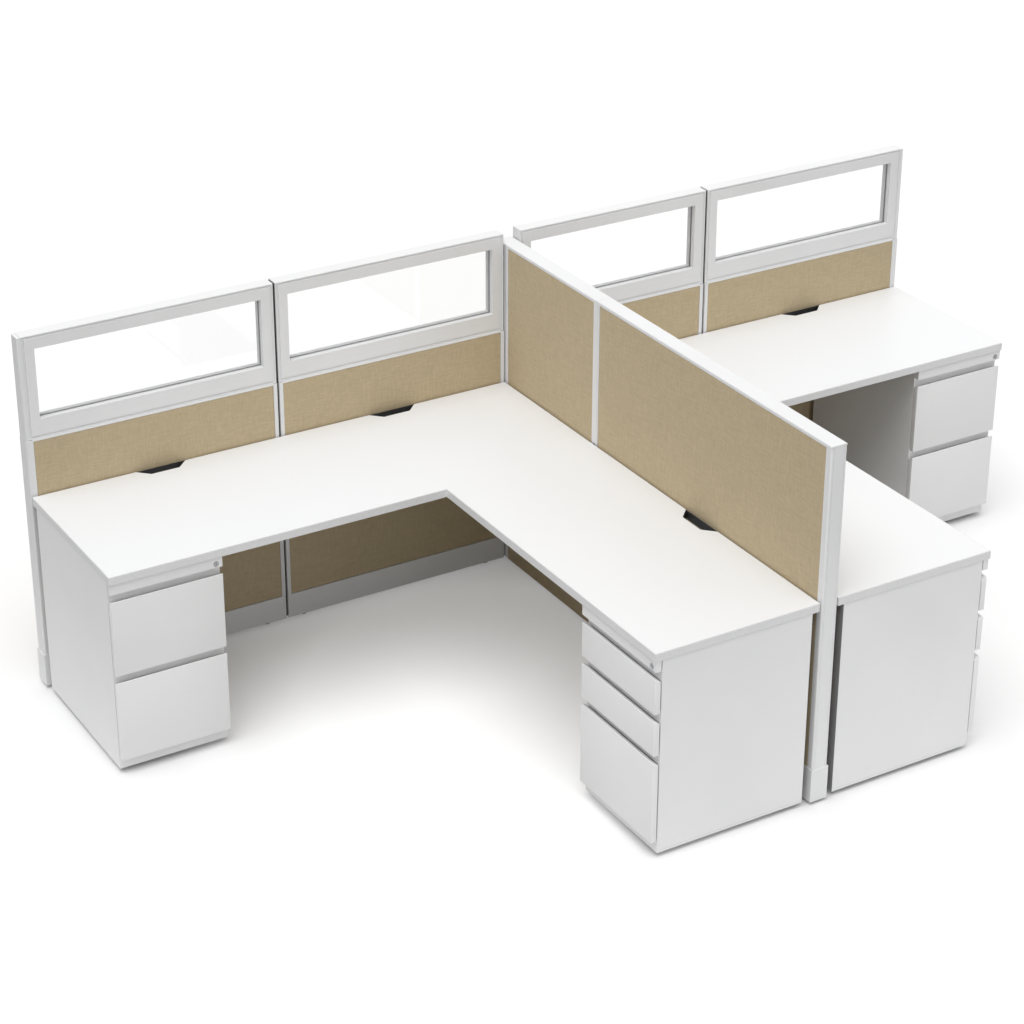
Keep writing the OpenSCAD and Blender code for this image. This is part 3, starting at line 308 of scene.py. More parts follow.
@dataclass(frozen=True)
class Finish:
    """The base of all finishes.

    Attributes:
        name: Name of the material.
        color: Middle colour.
        roughness: Middle roughness.
    """

    name: str
    color: Color
    roughness: float = 0.5

    def coat(self, paint: Paint, place: Socket) -> None:
        """Adds the nodes of the finish.

        Args:
            paint: The new material.
            place: Socket with a point's place on the object.
        """
        raise NotImplementedError

    def mottled(self, paint: Paint, factor: Socket, shades: Span) -> Socket:
        """Varies the colour between two shades of the middle one.

        Args:
            paint: The new material.
            factor: Noise that steers the shade.
            shades: Least and greatest factor on the middle colour.

        Returns:
            The socket with the colour.
        """
        return paint.blend(factor, shade(self.color, shades[0]), shade(self.color, shades[1]),
                           MOTTLE_SPAN)

    def rubbed(self, paint: Paint, factor: Socket, less: float, more: float) -> Socket:
        """Varies the roughness about the middle one.

        Args:
            paint: The new material.
            factor: Noise that steers the roughness.
            less: What is taken off where the noise is 0.
            more: What is added where the noise is 1.

        Returns:
            The socket with the roughness.
        """
        return paint.ranged(factor, (self.roughness - less, self.roughness + more))

    def build(self) -> bpy.types.Material:
        """Returns the material."""
        paint = Paint(self.name)
        self.coat(paint, paint.place())
        return paint.material


@dataclass(frozen=True, kw_only=True)
class PowderCoat(Finish):
    """Baked powder paint on steel: a fine orange-peel skin with faint unevenness.

    Attributes:
        clouds: Wide unevenness of the colour.
        shades: Least and greatest factor that the clouds put on the colour.
        peel: The orange-peel skin.
        rise: Height of the skin.
        gloss: Strength of the reflections.
    """

    clouds: Grain = Grain(2.3, 2.0)
    shades: Span = (0.97, 1.02)
    peel: Grain = Grain(650.0, 1.0)
    rise: float = 0.06 * MM
    gloss: float = 0.3

    def base(self, paint: Paint, place: Socket) -> Socket:
        """Adds the colour of the paint.

        Args:
            paint: The new material.
            place: Socket with a point's place on the object.

        Returns:
            The socket with the colour.
        """
        return self.mottled(paint, paint.noise(place, self.clouds), self.shades)

    def coat(self, paint: Paint, place: Socket) -> None:
        """Adds the nodes of the finish."""
        peel = paint.noise(place, self.peel)
        paint.coat(Base_Color=self.base(paint, place), Specular_IOR_Level=self.gloss,
                   Roughness=self.rubbed(paint, peel, less=0.05, more=0.06))
        paint.bump(peel, strength=0.35, rise=self.rise)


@dataclass(frozen=True, kw_only=True)
class CasePaintWithGapShade(PowderCoat):
    """Powder paint of the pedestals. Their backs beside the wing carry painted shade: a dark grey that stands
    for the shade in the narrow gap to the wing.

    Attributes:
        gap_shade: Colour of the painted shade on the backs beside the wing.
        overlap: How far past the cases' backs the painted shade reaches.
    """

    # Painted shade: the cases' backs beside the wing are coloured dark grey for the shade in the gap.
    gap_shade: Color = (0.28, 0.28, 0.285)
    overlap: float = 0.5 * MM

    def base(self, paint: Paint, place: Socket) -> Socket:
        """Returns the colour of the paint, or the painted gap shade on the backs near the wing."""
        wing_low, wing_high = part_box("wing_frames")
        wing_x = (wing_low.x + wing_high.x) / 2
        back_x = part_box("case_left_box")[1].x
        # Painted shade: 1 on the backs in the gap beside the wing, where the dark grey replaces the paint.
        near = paint.math("COMPARE", paint.axes(place)["X"], wing_x, wing_x - back_x + self.overlap)
        return paint.mix(near, super().base(paint, place), self.gap_shade)


@dataclass(frozen=True, kw_only=True)
class WovenFabric(Finish):
    """Panel cloth: a plain weave of uneven threads, whose thick places show as short streaks.

    Attributes:
        dark: Colour between the threads; the finish's own colour is that of their tops.
        pitch: Distance of two threads.
        slubs: The thick places of the threads, before they are drawn out.
        streak: How many times longer than wide a thick place is.
        slub_share: Share of the thick places in the cloth's relief; the weave has the rest.
        contrast: Heights at which the dark and the light colour are full.
        rise: Height of the relief.
    """

    dark: Color
    pitch: float = 2.2 * MM
    slubs: Grain = Grain(380.0, 2.0)
    streak: float = 14.0
    slub_share: float = 0.75
    contrast: Span = (0.36, 0.64)
    rise: float = 0.5 * MM

    def coat(self, paint: Paint, place: Socket) -> None:
        """Adds the nodes of the finish."""
        axes = paint.axes(place)
        turns = 2 * math.pi / self.pitch
        across = paint.math("ADD", axes["X"], axes["Y"])
        warp = paint.math("SINE", paint.math("MULTIPLY", across, turns))
        weft = paint.math("SINE", paint.math("MULTIPLY", axes["Z"], turns))
        crossing = paint.ranged(paint.math("MULTIPLY", warp, weft), (0.0, 1.0), (-1.0, 1.0))
        thin = 1 / self.streak
        upright = paint.noise(place, replace(self.slubs, stretch=(1.0, 1.0, thin)))
        level = paint.noise(place, replace(self.slubs, stretch=(thin, thin, 1.0)))
        thick = paint.math("MULTIPLY", paint.math("ADD", upright, level), 0.5)
        cloth = paint.math("ADD", paint.math("MULTIPLY", thick, self.slub_share),
                           paint.math("MULTIPLY", crossing, 1 - self.slub_share))
        paint.coat(Base_Color=paint.blend(cloth, self.dark, self.color, self.contrast),
                   Roughness=self.roughness, Specular_IOR_Level=0.15, Sheen_Weight=0.12,
                   Sheen_Roughness=0.45)
        paint.bump(cloth, strength=0.6, rise=self.rise)


@dataclass(frozen=True, kw_only=True)
class Laminate(Finish):
    """Worktop laminate: satin white with a pressed grain too fine to see from a step away.

    Attributes:
        backing: Colour of the sheet on the underside.
        backing_top: Level on the object up to which that sheet shows.
        specks: The pressed grain.
        speck_span: Heights of the grain between which the shade changes.
        wear: Wide unevenness of the gloss.
        rise: Height of the grain.
    """

    backing: Color
    backing_top: float
    specks: Grain = Grain(420.0, 2.0)
    speck_span: Span = (0.35, 0.6)
    wear: Grain = Grain(5.0, 4.0)
    rise: float = 0.04 * MM

    def coat(self, paint: Paint, place: Socket) -> None:
        """Adds the nodes of the finish."""
        specks = paint.noise(place, self.specks)
        above = paint.math("GREATER_THAN", paint.axes(place)["Z"], self.backing_top)
        under, top = (paint.blend(specks, shade(color, factor), color, self.speck_span)
                      for color, factor in ((self.backing, 0.9), (self.color, 0.985)))
        wear = paint.noise(place, self.wear)
        paint.coat(Base_Color=paint.mix(above, under, top),
                   Roughness=self.rubbed(paint, wear, less=0.06, more=0.08))
        paint.bump(specks, strength=0.25, rise=self.rise)


@dataclass(frozen=True, kw_only=True)
class MouldedPlastic(Finish):
    """Moulded plastic or rubber with a fine spark-eroded skin.

    Attributes:
        skin: The skin.
        rise: Height of the skin.
    """

    skin: Grain = Grain(900.0, 2.0)
    rise: float = 0.05 * MM

    def coat(self, paint: Paint, place: Socket) -> None:
        """Adds the nodes of the finish."""
        skin = paint.noise(place, self.skin)
        paint.coat(Base_Color=self.mottled(paint, skin, (0.9, 1.1)),
                   Roughness=self.rubbed(paint, skin, less=0.08, more=0.08))
        paint.bump(skin, strength=0.3, rise=self.rise)


@dataclass(frozen=True, kw_only=True)
class SheetSteel(Finish):
    """Bare metal: zinc-plated sheet with rolling lines, or polished chrome where these are faint.

    Attributes:
        lines: Strength of the rolling lines.
        rolling: The lines.
        rise: Height of the lines.
    """

    lines: float = 0.12
    rolling: Grain = Grain(14.0, 4.0, (1.0, 1.0, 60.0))
    rise: float = 0.05 * MM

    def coat(self, paint: Paint, place: Socket) -> None:
        """Adds the nodes of the finish."""
        rolled = paint.noise(place, self.rolling)
        paint.coat(Base_Color=self.mottled(paint, rolled, (0.9, 1.05)), Metallic=1.0,
                   Roughness=self.rubbed(paint, rolled, less=self.lines / 2, more=self.lines / 2))
        paint.bump(rolled, strength=self.lines, rise=self.rise)


@dataclass(frozen=True, kw_only=True)
class FibreBoard(Finish):
    """The sound-deadening core: matted fibres.

    Attributes:
        fibres: The fibres.
        rise: Height of the fibres.
    """

    fibres: Grain = Grain(180.0, 4.0, (6.0, 6.0, 1.0))
    rise: float = 0.6 * MM

    def coat(self, paint: Paint, place: Socket) -> None:
        """Adds the nodes of the finish."""
        fibres = paint.noise(place, self.fibres)
        paint.coat(Base_Color=self.mottled(paint, fibres, (0.7, 1.3)), Roughness=self.roughness)
        paint.bump(fibres, strength=0.6, rise=self.rise)


@dataclass(frozen=True, kw_only=True)
class ClearGlass(Finish):
    """Clear float glass with a slight green tint.

    Attributes:
        streaks: Wide unevenness of the gloss.
        refraction: Index of refraction.
    """

    streaks: Grain = Grain(3.0, 2.0)
    refraction: float = 1.5

    def coat(self, paint: Paint, place: Socket) -> None:
        """Adds the nodes of the finish."""
        streaks = paint.noise(place, self.streaks)
        paint.coat(Base_Color=self.color, Transmission_Weight=1.0, IOR=self.refraction,
                   Roughness=self.rubbed(paint, streaks, less=0.0, more=0.02))


FINISHES = {
    "worktop_laminate": Laminate("white_laminate", (0.82, 0.825, 0.833), 0.38, backing=(0.42, 0.41, 0.39),
                                 backing_top=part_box("worktop_left")[0].z + 0.5 * MM),
    "edge_band": MouldedPlastic("grey_edge_band", (0.73, 0.73, 0.735), 0.5, skin=Grain(500.0, 2.0)),
    "panel_paint": PowderCoat("light_grey_powder", (0.785, 0.787, 0.79), 0.44),
    "cover_paint": PowderCoat("grey_cover_powder", (0.77, 0.772, 0.775), 0.48),
    # The pedestals' paint, with painted shade on their backs in the gap beside the wing.
    "pedestal_paint": CasePaintWithGapShade("near_white_powder", (0.81, 0.81, 0.812), 0.4),
    "tile_fabric": WovenFabric("tan_panel_cloth", (0.575, 0.470, 0.309), 0.92, dark=(0.437, 0.357, 0.230)),
    "core_board": FibreBoard("grey_fibre_board", (0.18, 0.18, 0.17), 0.95),
    "clear_glass": ClearGlass("clear_float_glass", (0.985, 0.99, 0.988), 0.0),
    "gasket_rubber": MouldedPlastic("glazing_rubber", (0.52, 0.52, 0.53), 0.7),
    "dark_plastic": MouldedPlastic("black_plastic", (0.025, 0.025, 0.027), 0.6),
    "bare_steel": SheetSteel("zinc_plated_sheet", (0.55, 0.56, 0.58), 0.34),
    "lock_chrome": SheetSteel("satin_chrome", (0.34, 0.345, 0.36), 0.20, lines=0.03),
}


class Bench:
    """The modelling steps that every new piece shares."""

    @staticmethod
    def clear() -> None:
        """Leaves edit mode and deselects everything."""
        if bpy.context.object and bpy.context.object.mode != "OBJECT":
            bpy.ops.object.mode_set(mode="OBJECT")
        bpy.ops.object.select_all(action="DESELECT")

    @staticmethod
    def take(*pieces: bpy.types.Object) -> None:
        """Selects pieces, nothing else, and makes the first of them active."""
        Bench.clear()
        for piece in pieces:
            piece.select_set(True)
        bpy.context.view_layer.objects.active = pieces[0]

    @staticmethod
    def started(name: str) -> bpy.types.Object:
        """Names the object that was just added, and moves its place, turn and scale into its mesh.

        Args:
            name: Name of the piece.

        Returns:
            The piece, which is active.
        """
        piece = bpy.context.object
        piece.name = piece.data.name = name
        Bench.take(piece)
        bpy.ops.object.transform_apply(location=True, rotation=True, scale=True)
        return piece

    @staticmethod
    def block(name: str, low: Vector, high: Vector) -> bpy.types.Object:
        """Adds a block to start from.

        Args:
            name: Name of the piece.
            low: Lowest corner.
            high: Highest corner.

        Returns:
            The piece.
        """
        Bench.clear()
        bpy.ops.mesh.primitive_cube_add(size=1.0, location=(low + high) / 2)
        bpy.context.object.scale = high - low
        return Bench.started(name)

    @staticmethod
    def disc(name: str, radius: float, bottom: float, height: float, sides: int) -> bpy.types.Object:
        """Adds an upright cylinder around the Z axis to start from.

        Args:
            name: Name of the piece.
            radius: Its radius.
            bottom: Height of its lower face.
            height: Its height.
            sides: Number of its sides.

        Returns:
            The piece.
        """
        Bench.clear()
        bpy.ops.mesh.primitive_cylinder_add(vertices=sides, radius=radius, depth=height,
                                            location=(0, 0, bottom + height / 2))
        return Bench.started(name)

    @staticmethod
    def pick(piece: bpy.types.Object, kind: str, wanted: Callable[[object], bool]) -> None:
        """Selects, in edit mode, the faces or edges that a test accepts.

        Args:
            piece: The piece, which is put in edit mode.
            kind: FACE or EDGE.
            wanted: Test of one face or edge.
        """
        bpy.context.view_layer.objects.active = piece
        bpy.ops.object.mode_set(mode="EDIT")
        bpy.ops.mesh.select_mode(type=kind)
        bpy.ops.mesh.select_all(action="DESELECT")
        mesh = bmesh.from_edit_mesh(piece.data)
        for element in (mesh.faces if kind == "FACE" else mesh.edges):
            element.select_set(wanted(element))
        bmesh.update_edit_mesh(piece.data)

    @staticmethod
    def soften(piece: bpy.types.Object, width: float, segments: int, angle: float = 30.0) -> None:
        """Rounds the sharp edges of a new piece and shades it smooth between them.

        Args:
            piece: The piece.
            width: Width of the rounding.
            segments: Faces across it.
            angle: Least angle of an edge that counts as sharp, in degrees.
        """
        Bench.take(piece)
        rounding = Bench.rounding(piece, width, segments, angle)
        bpy.ops.object.modifier_apply(modifier=rounding.name)
        bpy.ops.object.shade_smooth_by_angle(angle=math.radians(angle))

    @staticmethod
    def rounding(piece: bpy.types.Object, width: float, segments: int,
                 angle: float) -> bpy.types.BevelModifier:
        """Adds a live rounding of the sharp edges.

        Args:
            piece: The piece.
            width: Width of the rounding.
            segments: Faces across it.
            angle: Least angle of an edge that counts as sharp, in degrees.

        Returns:
            The modifier.
        """
        made = piece.modifiers.new("rounding", "BEVEL")
        made.width = width
        made.segments = segments
        made.limit_method = "ANGLE"
        made.angle_limit = math.radians(angle)
        return made

    @staticmethod
    def copy(piece: bpy.types.Object, name: str, move: Vector, turn: float = 0.0) -> bpy.types.Object:
        """Copies a piece with a mesh of its own.

        Args:
            piece: The piece to copy.
            name: Name of the copy.
            move: Where the piece's origin goes.
            turn: Turn about Z, in radians, before the move.

        Returns:
            The copy.
        """
        made = piece.copy()
        made.data = piece.data.copy()
        made.name = made.data.name = name
        bpy.context.scene.collection.objects.link(made)
        made.data.transform(Matrix.Translation(move) @ Matrix.Rotation(turn, 4, "Z"))
        return made

    @staticmethod
    def join(*pieces: bpy.types.Object) -> bpy.types.Object:
        """Joins pieces into the first of them and returns it."""
        Bench.take(*pieces)
        bpy.ops.object.join()
        return pieces[0]


def solids_of(node: str) -> list[Box]:
    """Finds the separate solids of a CAD node.

    Args:
        node: Name of the node.

    Returns:
        The lowest and highest corner of each solid, in order of X, Y and Z to a tenth of a millimetre.
    """
    mesh = bmesh.new()
    mesh.from_mesh(frame["nodes"][node].data)
    bmesh.ops.remove_doubles(mesh, verts=mesh.verts, dist=MERGE_DISTANCE)
    boxes, seen = [], set()
    for start in mesh.verts:
        if start in seen:
            continue
        seen.add(start)
        queue, members = [start], []
        while queue:
            vert = queue.pop()
            members.append(vert.co.copy())
            for edge in vert.link_edges:
                other = edge.other_vert(vert)
                if other not in seen:
                    seen.add(other)
                    queue.append(other)
        boxes.append((Vector(map(min, *members)), Vector(map(max, *members))))
    mesh.free()
    return sorted(boxes, key=lambda box: tuple(round(value, 4) for value in box[0]))


class Dresser:
    """Gives finishes to new pieces and to the carried-over nodes."""

    def __init__(self) -> None:
        """Builds one material for each finish."""
        self.materials = {slot: finish.build() for slot, finish in FINISHES.items()}

    def paint(self, piece: bpy.types.Object, slot: str) -> None:
        """Gives a piece the material of a slot.

        Args:
            piece: The piece or node.
            slot: Name of the slot.
        """
        piece.data.materials.clear()
        piece.data.materials.append(self.materials[slot])

    def mount(self, piece: bpy.types.Object, slot: str, body: str, *nodes: str) -> None:
        """Finishes a new piece and sets it on its body.

        Args:
            piece: The new piece, in place.
            slot: Material slot of its finish.
            body: Body that it rides on.
            *nodes: CAD nodes that it stands for.
        """
        self.paint(piece, slot)
        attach(piece, body)
        if nodes:
            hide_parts(*nodes)
        LOG.info("%s rides on %s", piece.name, body)


@dataclass
class FabricTiles:
    """The cloth-wrapped boards on both faces of the panels: crowned, with soft edges.

    Attributes:
        dresser: What finishes the pieces.
        crown: How far the middle stands out.
        crown_inset: Width of the slope along the edges.
        edge_round: Rounding of the edges.
        edge_segments: Faces across that rounding.
        crease: Least angle, in radians, of an edge that gets it.
        smooth_angle: Greatest angle, in degrees, that is shaded smooth.
    """

    dresser: Dresser
    crown: float = 1.0 * MM
    crown_inset: float = 26 * MM
    edge_round: float = 4.0 * MM
    edge_segments: int = 4
    crease: float = 1.0
    smooth_angle: float = 40.0

    def tile(self, name: str, box: Box, outward: Vector) -> bpy.types.Object:
        """Models one tile.

        Args:
            name: Name of the piece.
            box: Corners of the tile's solid.
            outward: Direction away from the panel's core.

        Returns:
            The piece.
        """
        low, high = box[0].copy(), box[1].copy()
        for axis in range(3):
            if outward[axis] > 0:
                high[axis] -= self.crown
            elif outward[axis] < 0:
                low[axis] += self.crown

        def faces_out(face: bmesh.types.BMFace) -> bool:
            """Tells whether a face looks away from the core."""
            return face.normal.dot(outward) > SAME_WAY

        piece = Bench.block(name, low, high)
        Bench.pick(piece, "FACE", faces_out)
        bpy.ops.mesh.inset(thickness=self.crown_inset, depth=self.crown)
        Bench.pick(piece, "EDGE", lambda edge: any(map(faces_out, edge.link_faces))
                   and edge.calc_face_angle(0.0) > self.crease)
        bpy.ops.mesh.bevel(offset=self.edge_round, segments=self.edge_segments, affect="EDGES")
        Bench.take(piece)
        bpy.ops.object.shade_smooth_by_angle(angle=math.radians(self.smooth_angle))
        return piece

    def build(self) -> None:
        """Makes the tiles of the spine and of the wing."""
        for node, axis in (("spine_tiles", 1), ("wing_tiles", 0)):
            panel_middle = sum(corner[axis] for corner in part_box(node)) / 2
            for index, box in enumerate(solids_of(node), 1):
                outward = Vector((0, 0, 0))
                outward[axis] = 1.0 if (box[0][axis] + box[1][axis]) / 2 > panel_middle else -1.0
                piece = self.tile(f"{node[:-1]}_{index:02d}", box, outward)
                self.dresser.mount(piece, "tile_fabric", STATION, node)


@dataclass
class DrawerFronts:
    """Folded steel drawer fronts whose tops slope back and down to make the pulls.

    Attributes:
        dresser: What finishes the pieces.
        pull_lip: Depth of the level edge in front of the slope.
        pull_drop: How far the slope goes down.
        fold: Width of the fold round the back.
        pan_depth: Depth of the hollow inside the fold.
        edge_round: Rounding of the edges.
        edge_segments: Faces across that rounding.
        reach: How near to the back and the top a corner counts as on them.
        places: The way that the fronts of each pedestal face.
    """

    dresser: Dresser
    pull_lip: float = 3 * MM
    pull_drop: float = 10 * MM
    fold: float = 12 * MM
    pan_depth: float = 14 * MM
    edge_round: float = 1.6 * MM
    edge_segments: int = 3
    reach: float = 0.01 * MM
    places: dict[str, Facing] = field(default_factory=lambda: {
        "left_file": Facing.FRONT, "right_file": Facing.FRONT,
        "left_box": Facing.LEFT, "right_box": Facing.RIGHT,
    })

    def front(self, name: str, width: float, depth: float, height: float) -> bpy.types.Object:
        """Models a front that faces -Y, with its lower left front corner at the origin.

        Args:
            name: Name of the piece.
            width: Its width.
            depth: Its thickness.
            height: Its height.

        Returns:
            The piece.
        """
        piece = Bench.block(name, Vector((0, 0, 0)), Vector((width, depth, height)))
        Bench.pick(piece, "FACE", lambda face: True)
        bpy.ops.mesh.bisect(plane_co=(0, self.pull_lip, 0), plane_no=(0, 1, 0))
        Bench.pick(piece, "EDGE", lambda edge: all(
            vert.co.y > depth - self.reach and vert.co.z > height - self.reach for vert in edge.verts))
        bpy.ops.transform.translate(value=(0, 0, -self.pull_drop))
        Bench.pick(piece, "FACE", lambda face: face.normal.y > SAME_WAY)
        bpy.ops.mesh.inset(thickness=self.fold, depth=0)
        bpy.ops.mesh.extrude_region_move(TRANSFORM_OT_translate={"value": (0, -self.pan_depth, 0)})
        Bench.soften(piece, self.edge_round, self.edge_segments)
        return piece

    def build(self) -> None:
        """Makes a front for each drawer."""
        for place, facing in self.places.items():
            for node in sorted(name for name in frame["nodes"] if name.startswith(f"front_{place}_")):
                low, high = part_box(node)
                size = high - low
                width, depth = (size.x, size.y) if facing is Facing.FRONT else (size.y, size.x)
                corner = {Facing.FRONT: (low.x, low.y), Facing.LEFT: (low.x, high.y),
                          Facing.RIGHT: (high.x, low.y)}[facing]
                pattern = self.front("front_pattern", width, depth, size.z)
                piece = Bench.copy(pattern, node.replace("front_", "drawer_face_"),
                                   Vector((*corner, low.z)), facing.value)
                bpy.data.objects.remove(pattern)
                self.dresser.mount(piece, "pedestal_paint", node.replace("front_", "drawer_"), node)


@dataclass
class LevellingGlides:
    """Screw-in feet: a rounded pad, a lock nut and a threaded stud.

    Attributes:
        dresser: What finishes the pieces.
        pad_radius: Radius of the pad.
        pad_height: Height of the pad.
        pad_slope: Width of the slope on its top.
        pad_rise: Height of that slope.
        pad_round: Rounding of its edges.
        pad_sharp: Least angle of an edge that is rounded, in degrees.
        pad_sides: Number of the pad's sides.
        nut_radius: Radius of the nut.
        nut_height: Height of the nut.
        nut_round: Rounding of its edges.
        nut_sides: Number of its sides.
        stud_radius: Radius of the stud.
        stud_sides: Number of its sides.
        thread: Height of half a turn of the thread.
        thread_depth: Depth of the thread.
    """

    dresser: Dresser
    pad_radius: float = 15 * MM
    pad_height: float = 7 * MM
    pad_slope: float = 4 * MM
    pad_rise: float = 2 * MM
    pad_round: float = 1.2 * MM
    pad_sharp: float = 20.0
    pad_sides: int = 36
    nut_radius: float = 9 * MM
    nut_height: float = 5 * MM
    nut_round: float = 0.6 * MM
    nut_sides: int = 6
    stud_radius: float = 5 * MM
    stud_sides: int = 20
    thread: float = 1.5 * MM
    thread_depth: float = 0.6 * MM

    def glide(self, height: float) -> bpy.types.Object:
        """Models a glide that stands at the origin.

        Args:
            height: Height of its stud's end.

        Returns:
            The piece.
        """
        pad = Bench.disc("glide_pattern", self.pad_radius, 0.0, self.pad_height - self.pad_rise,
                         self.pad_sides)
        Bench.pick(pad, "FACE", lambda face: face.normal.z > SAME_WAY)
        bpy.ops.mesh.inset(thickness=self.pad_slope, depth=self.pad_rise)
        Bench.soften(pad, self.pad_round, 3, self.pad_sharp)
        nut = Bench.disc("glide_nut", self.nut_radius, self.pad_height, self.nut_height, self.nut_sides)
        Bench.soften(nut, self.nut_round, 2)
        bottom = self.pad_height + self.nut_height
        stud = Bench.disc("glide_stud", self.stud_radius, bottom, self.thread, self.stud_sides)
        Bench.pick(stud, "FACE", lambda face: face.normal.z > SAME_WAY)
        level, inward = bottom + self.thread, True
        waist = 1 - self.thread_depth / self.stud_radius
        while level + self.thread < height:
            scale = waist if inward else 1 / waist
            bpy.ops.mesh.extrude_region_move(TRANSFORM_OT_translate={"value": (0, 0, self.thread)})
            bpy.ops.transform.resize(value=(scale, scale, 1))
            level, inward = level + self.thread, not inward
        return Bench.join(pad, nut, stud)

    def build(self) -> None:
        """Makes a glide under each stile and case."""
        for node in ("panel_glides", "pedestal_glides"):
            boxes = solids_of(node)
            pattern = self.glide(boxes[0][1].z)
            for index, (low, high) in enumerate(boxes, 1):
                middle = (low + high) / 2
                piece = Bench.copy(pattern, f"{node[:-1]}_{index:02d}", Vector((middle.x, middle.y, 0)))
                self.dresser.mount(piece, "dark_plastic", STATION, node)
            bpy.data.objects.remove(pattern)


@dataclass
class CarriedNodes:
    """The CAD nodes whose shape is right: they get their slot's finish, and all but the plain ones get
    softened edges.

    Attributes:
        dresser: What finishes the nodes.
        usual_round: Width of the rounding of a node that the two fields below don't name.
        rounds: Width of the rounding of some nodes.
        plain: How the names of nodes begin that stay sharp, being small or hidden.
        flat_angle: Greatest angle, in degrees, between faces that are made one.
        sharp_angle: Least angle, in degrees, of an edge that is rounded.
    """

    dresser: Dresser
    usual_round: float = 0.8 * MM
    rounds: dict[str, float] = field(default_factory=lambda: {
        "end_trims": 0.6 * MM, "base_shoes": 1.2 * MM, "edge_bands": 1.0 * MM, "lock_barrels": 0.4 * MM,
        "wing_top_caps": 1.0 * MM, "front_rails": 1.4 * MM, "spine_frames_left": 1.0 * MM,
        "spine_frames_right": 1.0 * MM, "wing_frames": 1.0 * MM,
    })
    plain: tuple[str, ...] = ("plug", "bar", "drawer", "worktop_left", "worktop_right", "glass_panes",
                              "panel_cores", "junction_post", "glazing_gaskets")
    flat_angle: float = 0.5
    sharp_angle: float = 30.0

    def soften(self, node: bpy.types.Object, width: float) -> None:
        """Rounds a node's edges with live modifiers, which leave its mesh as it is.

        Args:
            node: The CAD node's object.
            width: Width of the rounding.
        """
        weld = node.modifiers.new("weld", "WELD")
        weld.merge_threshold = MERGE_DISTANCE
        flatten = node.modifiers.new("flatten", "DECIMATE")
        flatten.decimate_type = "DISSOLVE"
        flatten.angle_limit = math.radians(self.flat_angle)
        Bench.rounding(node, width, 2, self.sharp_angle).use_clamp_overlap = True

    def build(self) -> None:
        """Dresses every node that no new piece stands for."""
        for row in frame["record"]["subparts"]:
            node = frame["nodes"][row["node"]]
            self.dresser.paint(node, row["material_slot"])
            if not node.hide_render and not row["node"].startswith(self.plain):
                self.soften(node, self.rounds.get(row["node"], self.usual_round))
            LOG.info("%s keeps its shape", row["node"])


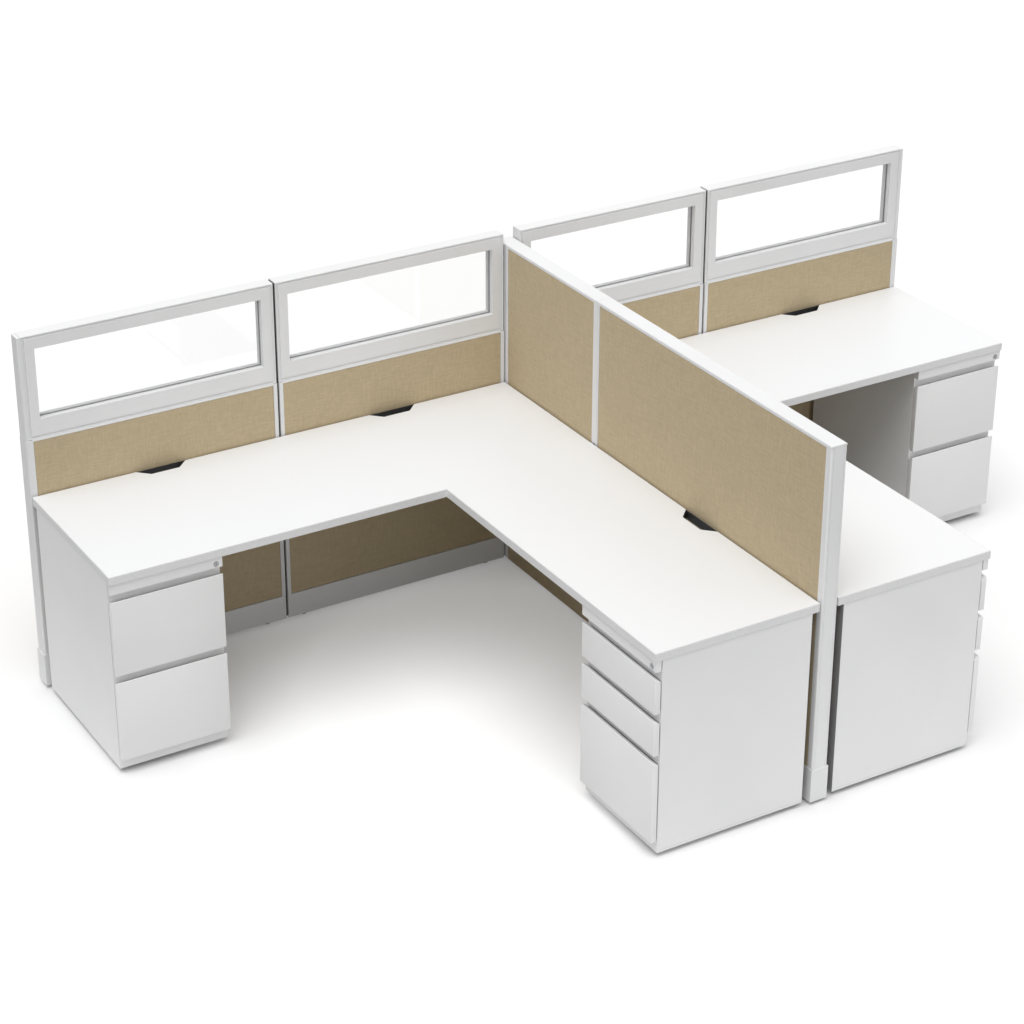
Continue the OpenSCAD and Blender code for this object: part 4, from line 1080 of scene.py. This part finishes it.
@dataclass
class Studio:
    """Pale floor, soft light and the camera of the photograph.

    Attributes:
        eye: Place of the camera.
        pitch: How far the camera looks down, in degrees.
        yaw: How far it is turned from +Y towards +X, in degrees.
        roll: Its turn about its own axis, in degrees.
        focal_px: Focal length in the photograph's pixels.
        image_px: Width and height of the photograph in pixels.
        principal_row: Row of the optical centre.
        sensor: Width of the sensor, in Blender's own millimetres.
        clip: Nearest and farthest distance that the camera shows.
        floor_side: Side of the floor.
        floor_seen: Grey of the floor as the camera sees it.
        painted_pool_center: Middle of a painted pool of light: the floor's colour for bounced rays is paler
            here, as where lamplight pools.
        painted_pool_span: Distances from there between which the painted pool fades.
        painted_pool_bounce: What share of the light is thrown back at these distances.
        glow_center: Middle of the painted glow on the floor, which lifts its shadows as the camera sees them.
        glow_span: Distances from there between which the painted glow fades.
        painted_floor_glow: Strength of the painted glow at these distances.
        ambient: Strength of the light from all round.
        ambient_lean: How much stronger that light is from each direction.
        sun_from: Direction that the broad light comes from.
        sun_strength: Its strength.
        sun_angle: Its width, in degrees.
    """

    eye: tuple[float, float, float] = (-4.4143, -6.5603, 4.7077)
    pitch: float = 25.993
    yaw: float = 30.780
    roll: float = 0.113
    focal_px: float = 2611.7
    image_px: float = 1024.0
    principal_row: float = 450.0
    sensor: float = 36.0
    clip: Span = (0.1, 200.0)
    floor_side: float = 60.0
    floor_seen: float = 0.85
    painted_pool_center: tuple[float, float, float] = (0.2, -0.6, 0.0)
    painted_pool_span: Span = (2.4, 3.8)
    painted_pool_bounce: Span = (0.72, 0.08)
    glow_center: tuple[float, float, float] = (-0.45, 0.15, 0.0)
    glow_span: Span = (0.7, 1.2)
    painted_floor_glow: Span = (0.28, 0.04)
    ambient: float = 0.64
    ambient_lean: tuple[float, float, float] = (0.08, -0.08, 0.0)
    sun_from: tuple[float, float, float] = (-0.26, -0.20, 0.96)
    sun_strength: float = 1.86
    sun_angle: float = 50.0

    def camera(self) -> None:
        """Sets the camera at the photograph's viewpoint."""
        pitch, yaw, roll = (math.radians(value) for value in (self.pitch, self.yaw, self.roll))
        forward = Vector((math.sin(yaw) * math.cos(pitch), math.cos(yaw) * math.cos(pitch), -math.sin(pitch)))
        right = Vector((math.cos(yaw), -math.sin(yaw), 0.0))
        up = right.cross(forward)
        turned_right = right * math.cos(roll) + up * math.sin(roll)
        turned_up = up * math.cos(roll) - right * math.sin(roll)
        data = bpy.data.cameras.new("photo_camera")
        data.sensor_width = self.sensor
        data.lens = self.focal_px * self.sensor / self.image_px
        data.shift_y = (self.principal_row - self.image_px / 2) / self.image_px
        data.clip_start, data.clip_end = self.clip
        camera = bpy.data.objects.new("photo_camera", data)
        bpy.context.scene.collection.objects.link(camera)
        turn = Matrix((turned_right, turned_up, -forward)).transposed()
        camera.matrix_world = Matrix.Translation(Vector(self.eye)) @ turn.to_4x4()
        bpy.context.scene.camera = camera

    def floor(self) -> None:
        """Lays a pale floor that shows white where no shadow falls. Near the object's middle a painted glow
        lifts its shadows for the camera, and a painted pool of light makes it throw more light back up near
        the object.
        """
        Bench.clear()
        bpy.ops.mesh.primitive_plane_add(size=self.floor_side, location=(0, 0, 0))
        floor = bpy.context.object
        floor.name = "studio_floor"
        paint = Paint("pale_floor")
        place = paint.place()
        seen = paint.seen_rays()
        from_painted_pool, from_glow = (paint.vector_math("DISTANCE", place, center)
                                for center in (self.painted_pool_center, self.glow_center))
        # Painted pool of light: the floor throws more light back up near the object than far from it.
        pooled_bounce = paint.ranged(from_painted_pool, self.painted_pool_bounce, self.painted_pool_span)
        # Painted glow: the floor shines for the camera near the middle, lifting the shadows there.
        glow = paint.ranged(from_glow, self.painted_floor_glow, self.glow_span)
        paint.coat(Base_Color=paint.mix(seen, pooled_bounce, (self.floor_seen,) * 3), Roughness=0.9,
                   Specular_IOR_Level=0.1, Emission_Color=WHITE,
                   Emission_Strength=paint.ranged(seen, (0.0, glow)))
        floor.data.materials.append(paint.material)

    def sky(self) -> None:
        """Fills the room with soft light that leans to one side, and shows white behind the object."""
        world = bpy.data.worlds.new("soft_room")
        world.use_nodes = True
        bpy.context.scene.world = world
        graph = Graph(world.node_tree)
        direction = graph.node("ShaderNodeTexCoord").outputs["Generated"]
        lean = graph.vector_math("DOT_PRODUCT", direction, self.ambient_lean)
        room = graph.ranged(lean, (self.ambient - 1.0, self.ambient + 1.0), (-1.0, 1.0))
        graph.fill(world.node_tree.nodes["Background"], Color=WHITE,
                   Strength=graph.ranged(graph.seen_rays(), (room, 1.0)))

    def sun(self) -> None:
        """Adds one broad soft light from above the camera's left."""
        data = bpy.data.lights.new("soft_sun", "SUN")
        data.energy = self.sun_strength
        data.angle = math.radians(self.sun_angle)
        sun = bpy.data.objects.new("soft_sun", data)
        sun.rotation_mode = "QUATERNION"
        sun.rotation_quaternion = Vector(self.sun_from).to_track_quat("Z", "Y")
        bpy.context.scene.collection.objects.link(sun)

    def build(self) -> None:
        """Makes the whole studio."""
        bpy.context.scene.view_settings.view_transform = "Standard"
        self.camera()
        self.floor()
        self.sky()
        self.sun()


def main() -> None:
    """Builds the dressed workstation."""
    logging.basicConfig(level=logging.INFO, format="%(name)s: %(message)s")
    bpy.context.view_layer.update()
    Studio().build()
    dresser = Dresser()
    FabricTiles(dresser).build()
    DrawerFronts(dresser).build()
    LevellingGlides(dresser).build()
    CarriedNodes(dresser).build()
    Bench.clear()
    bpy.context.view_layer.update()


if __name__ == "__main__":
    main()
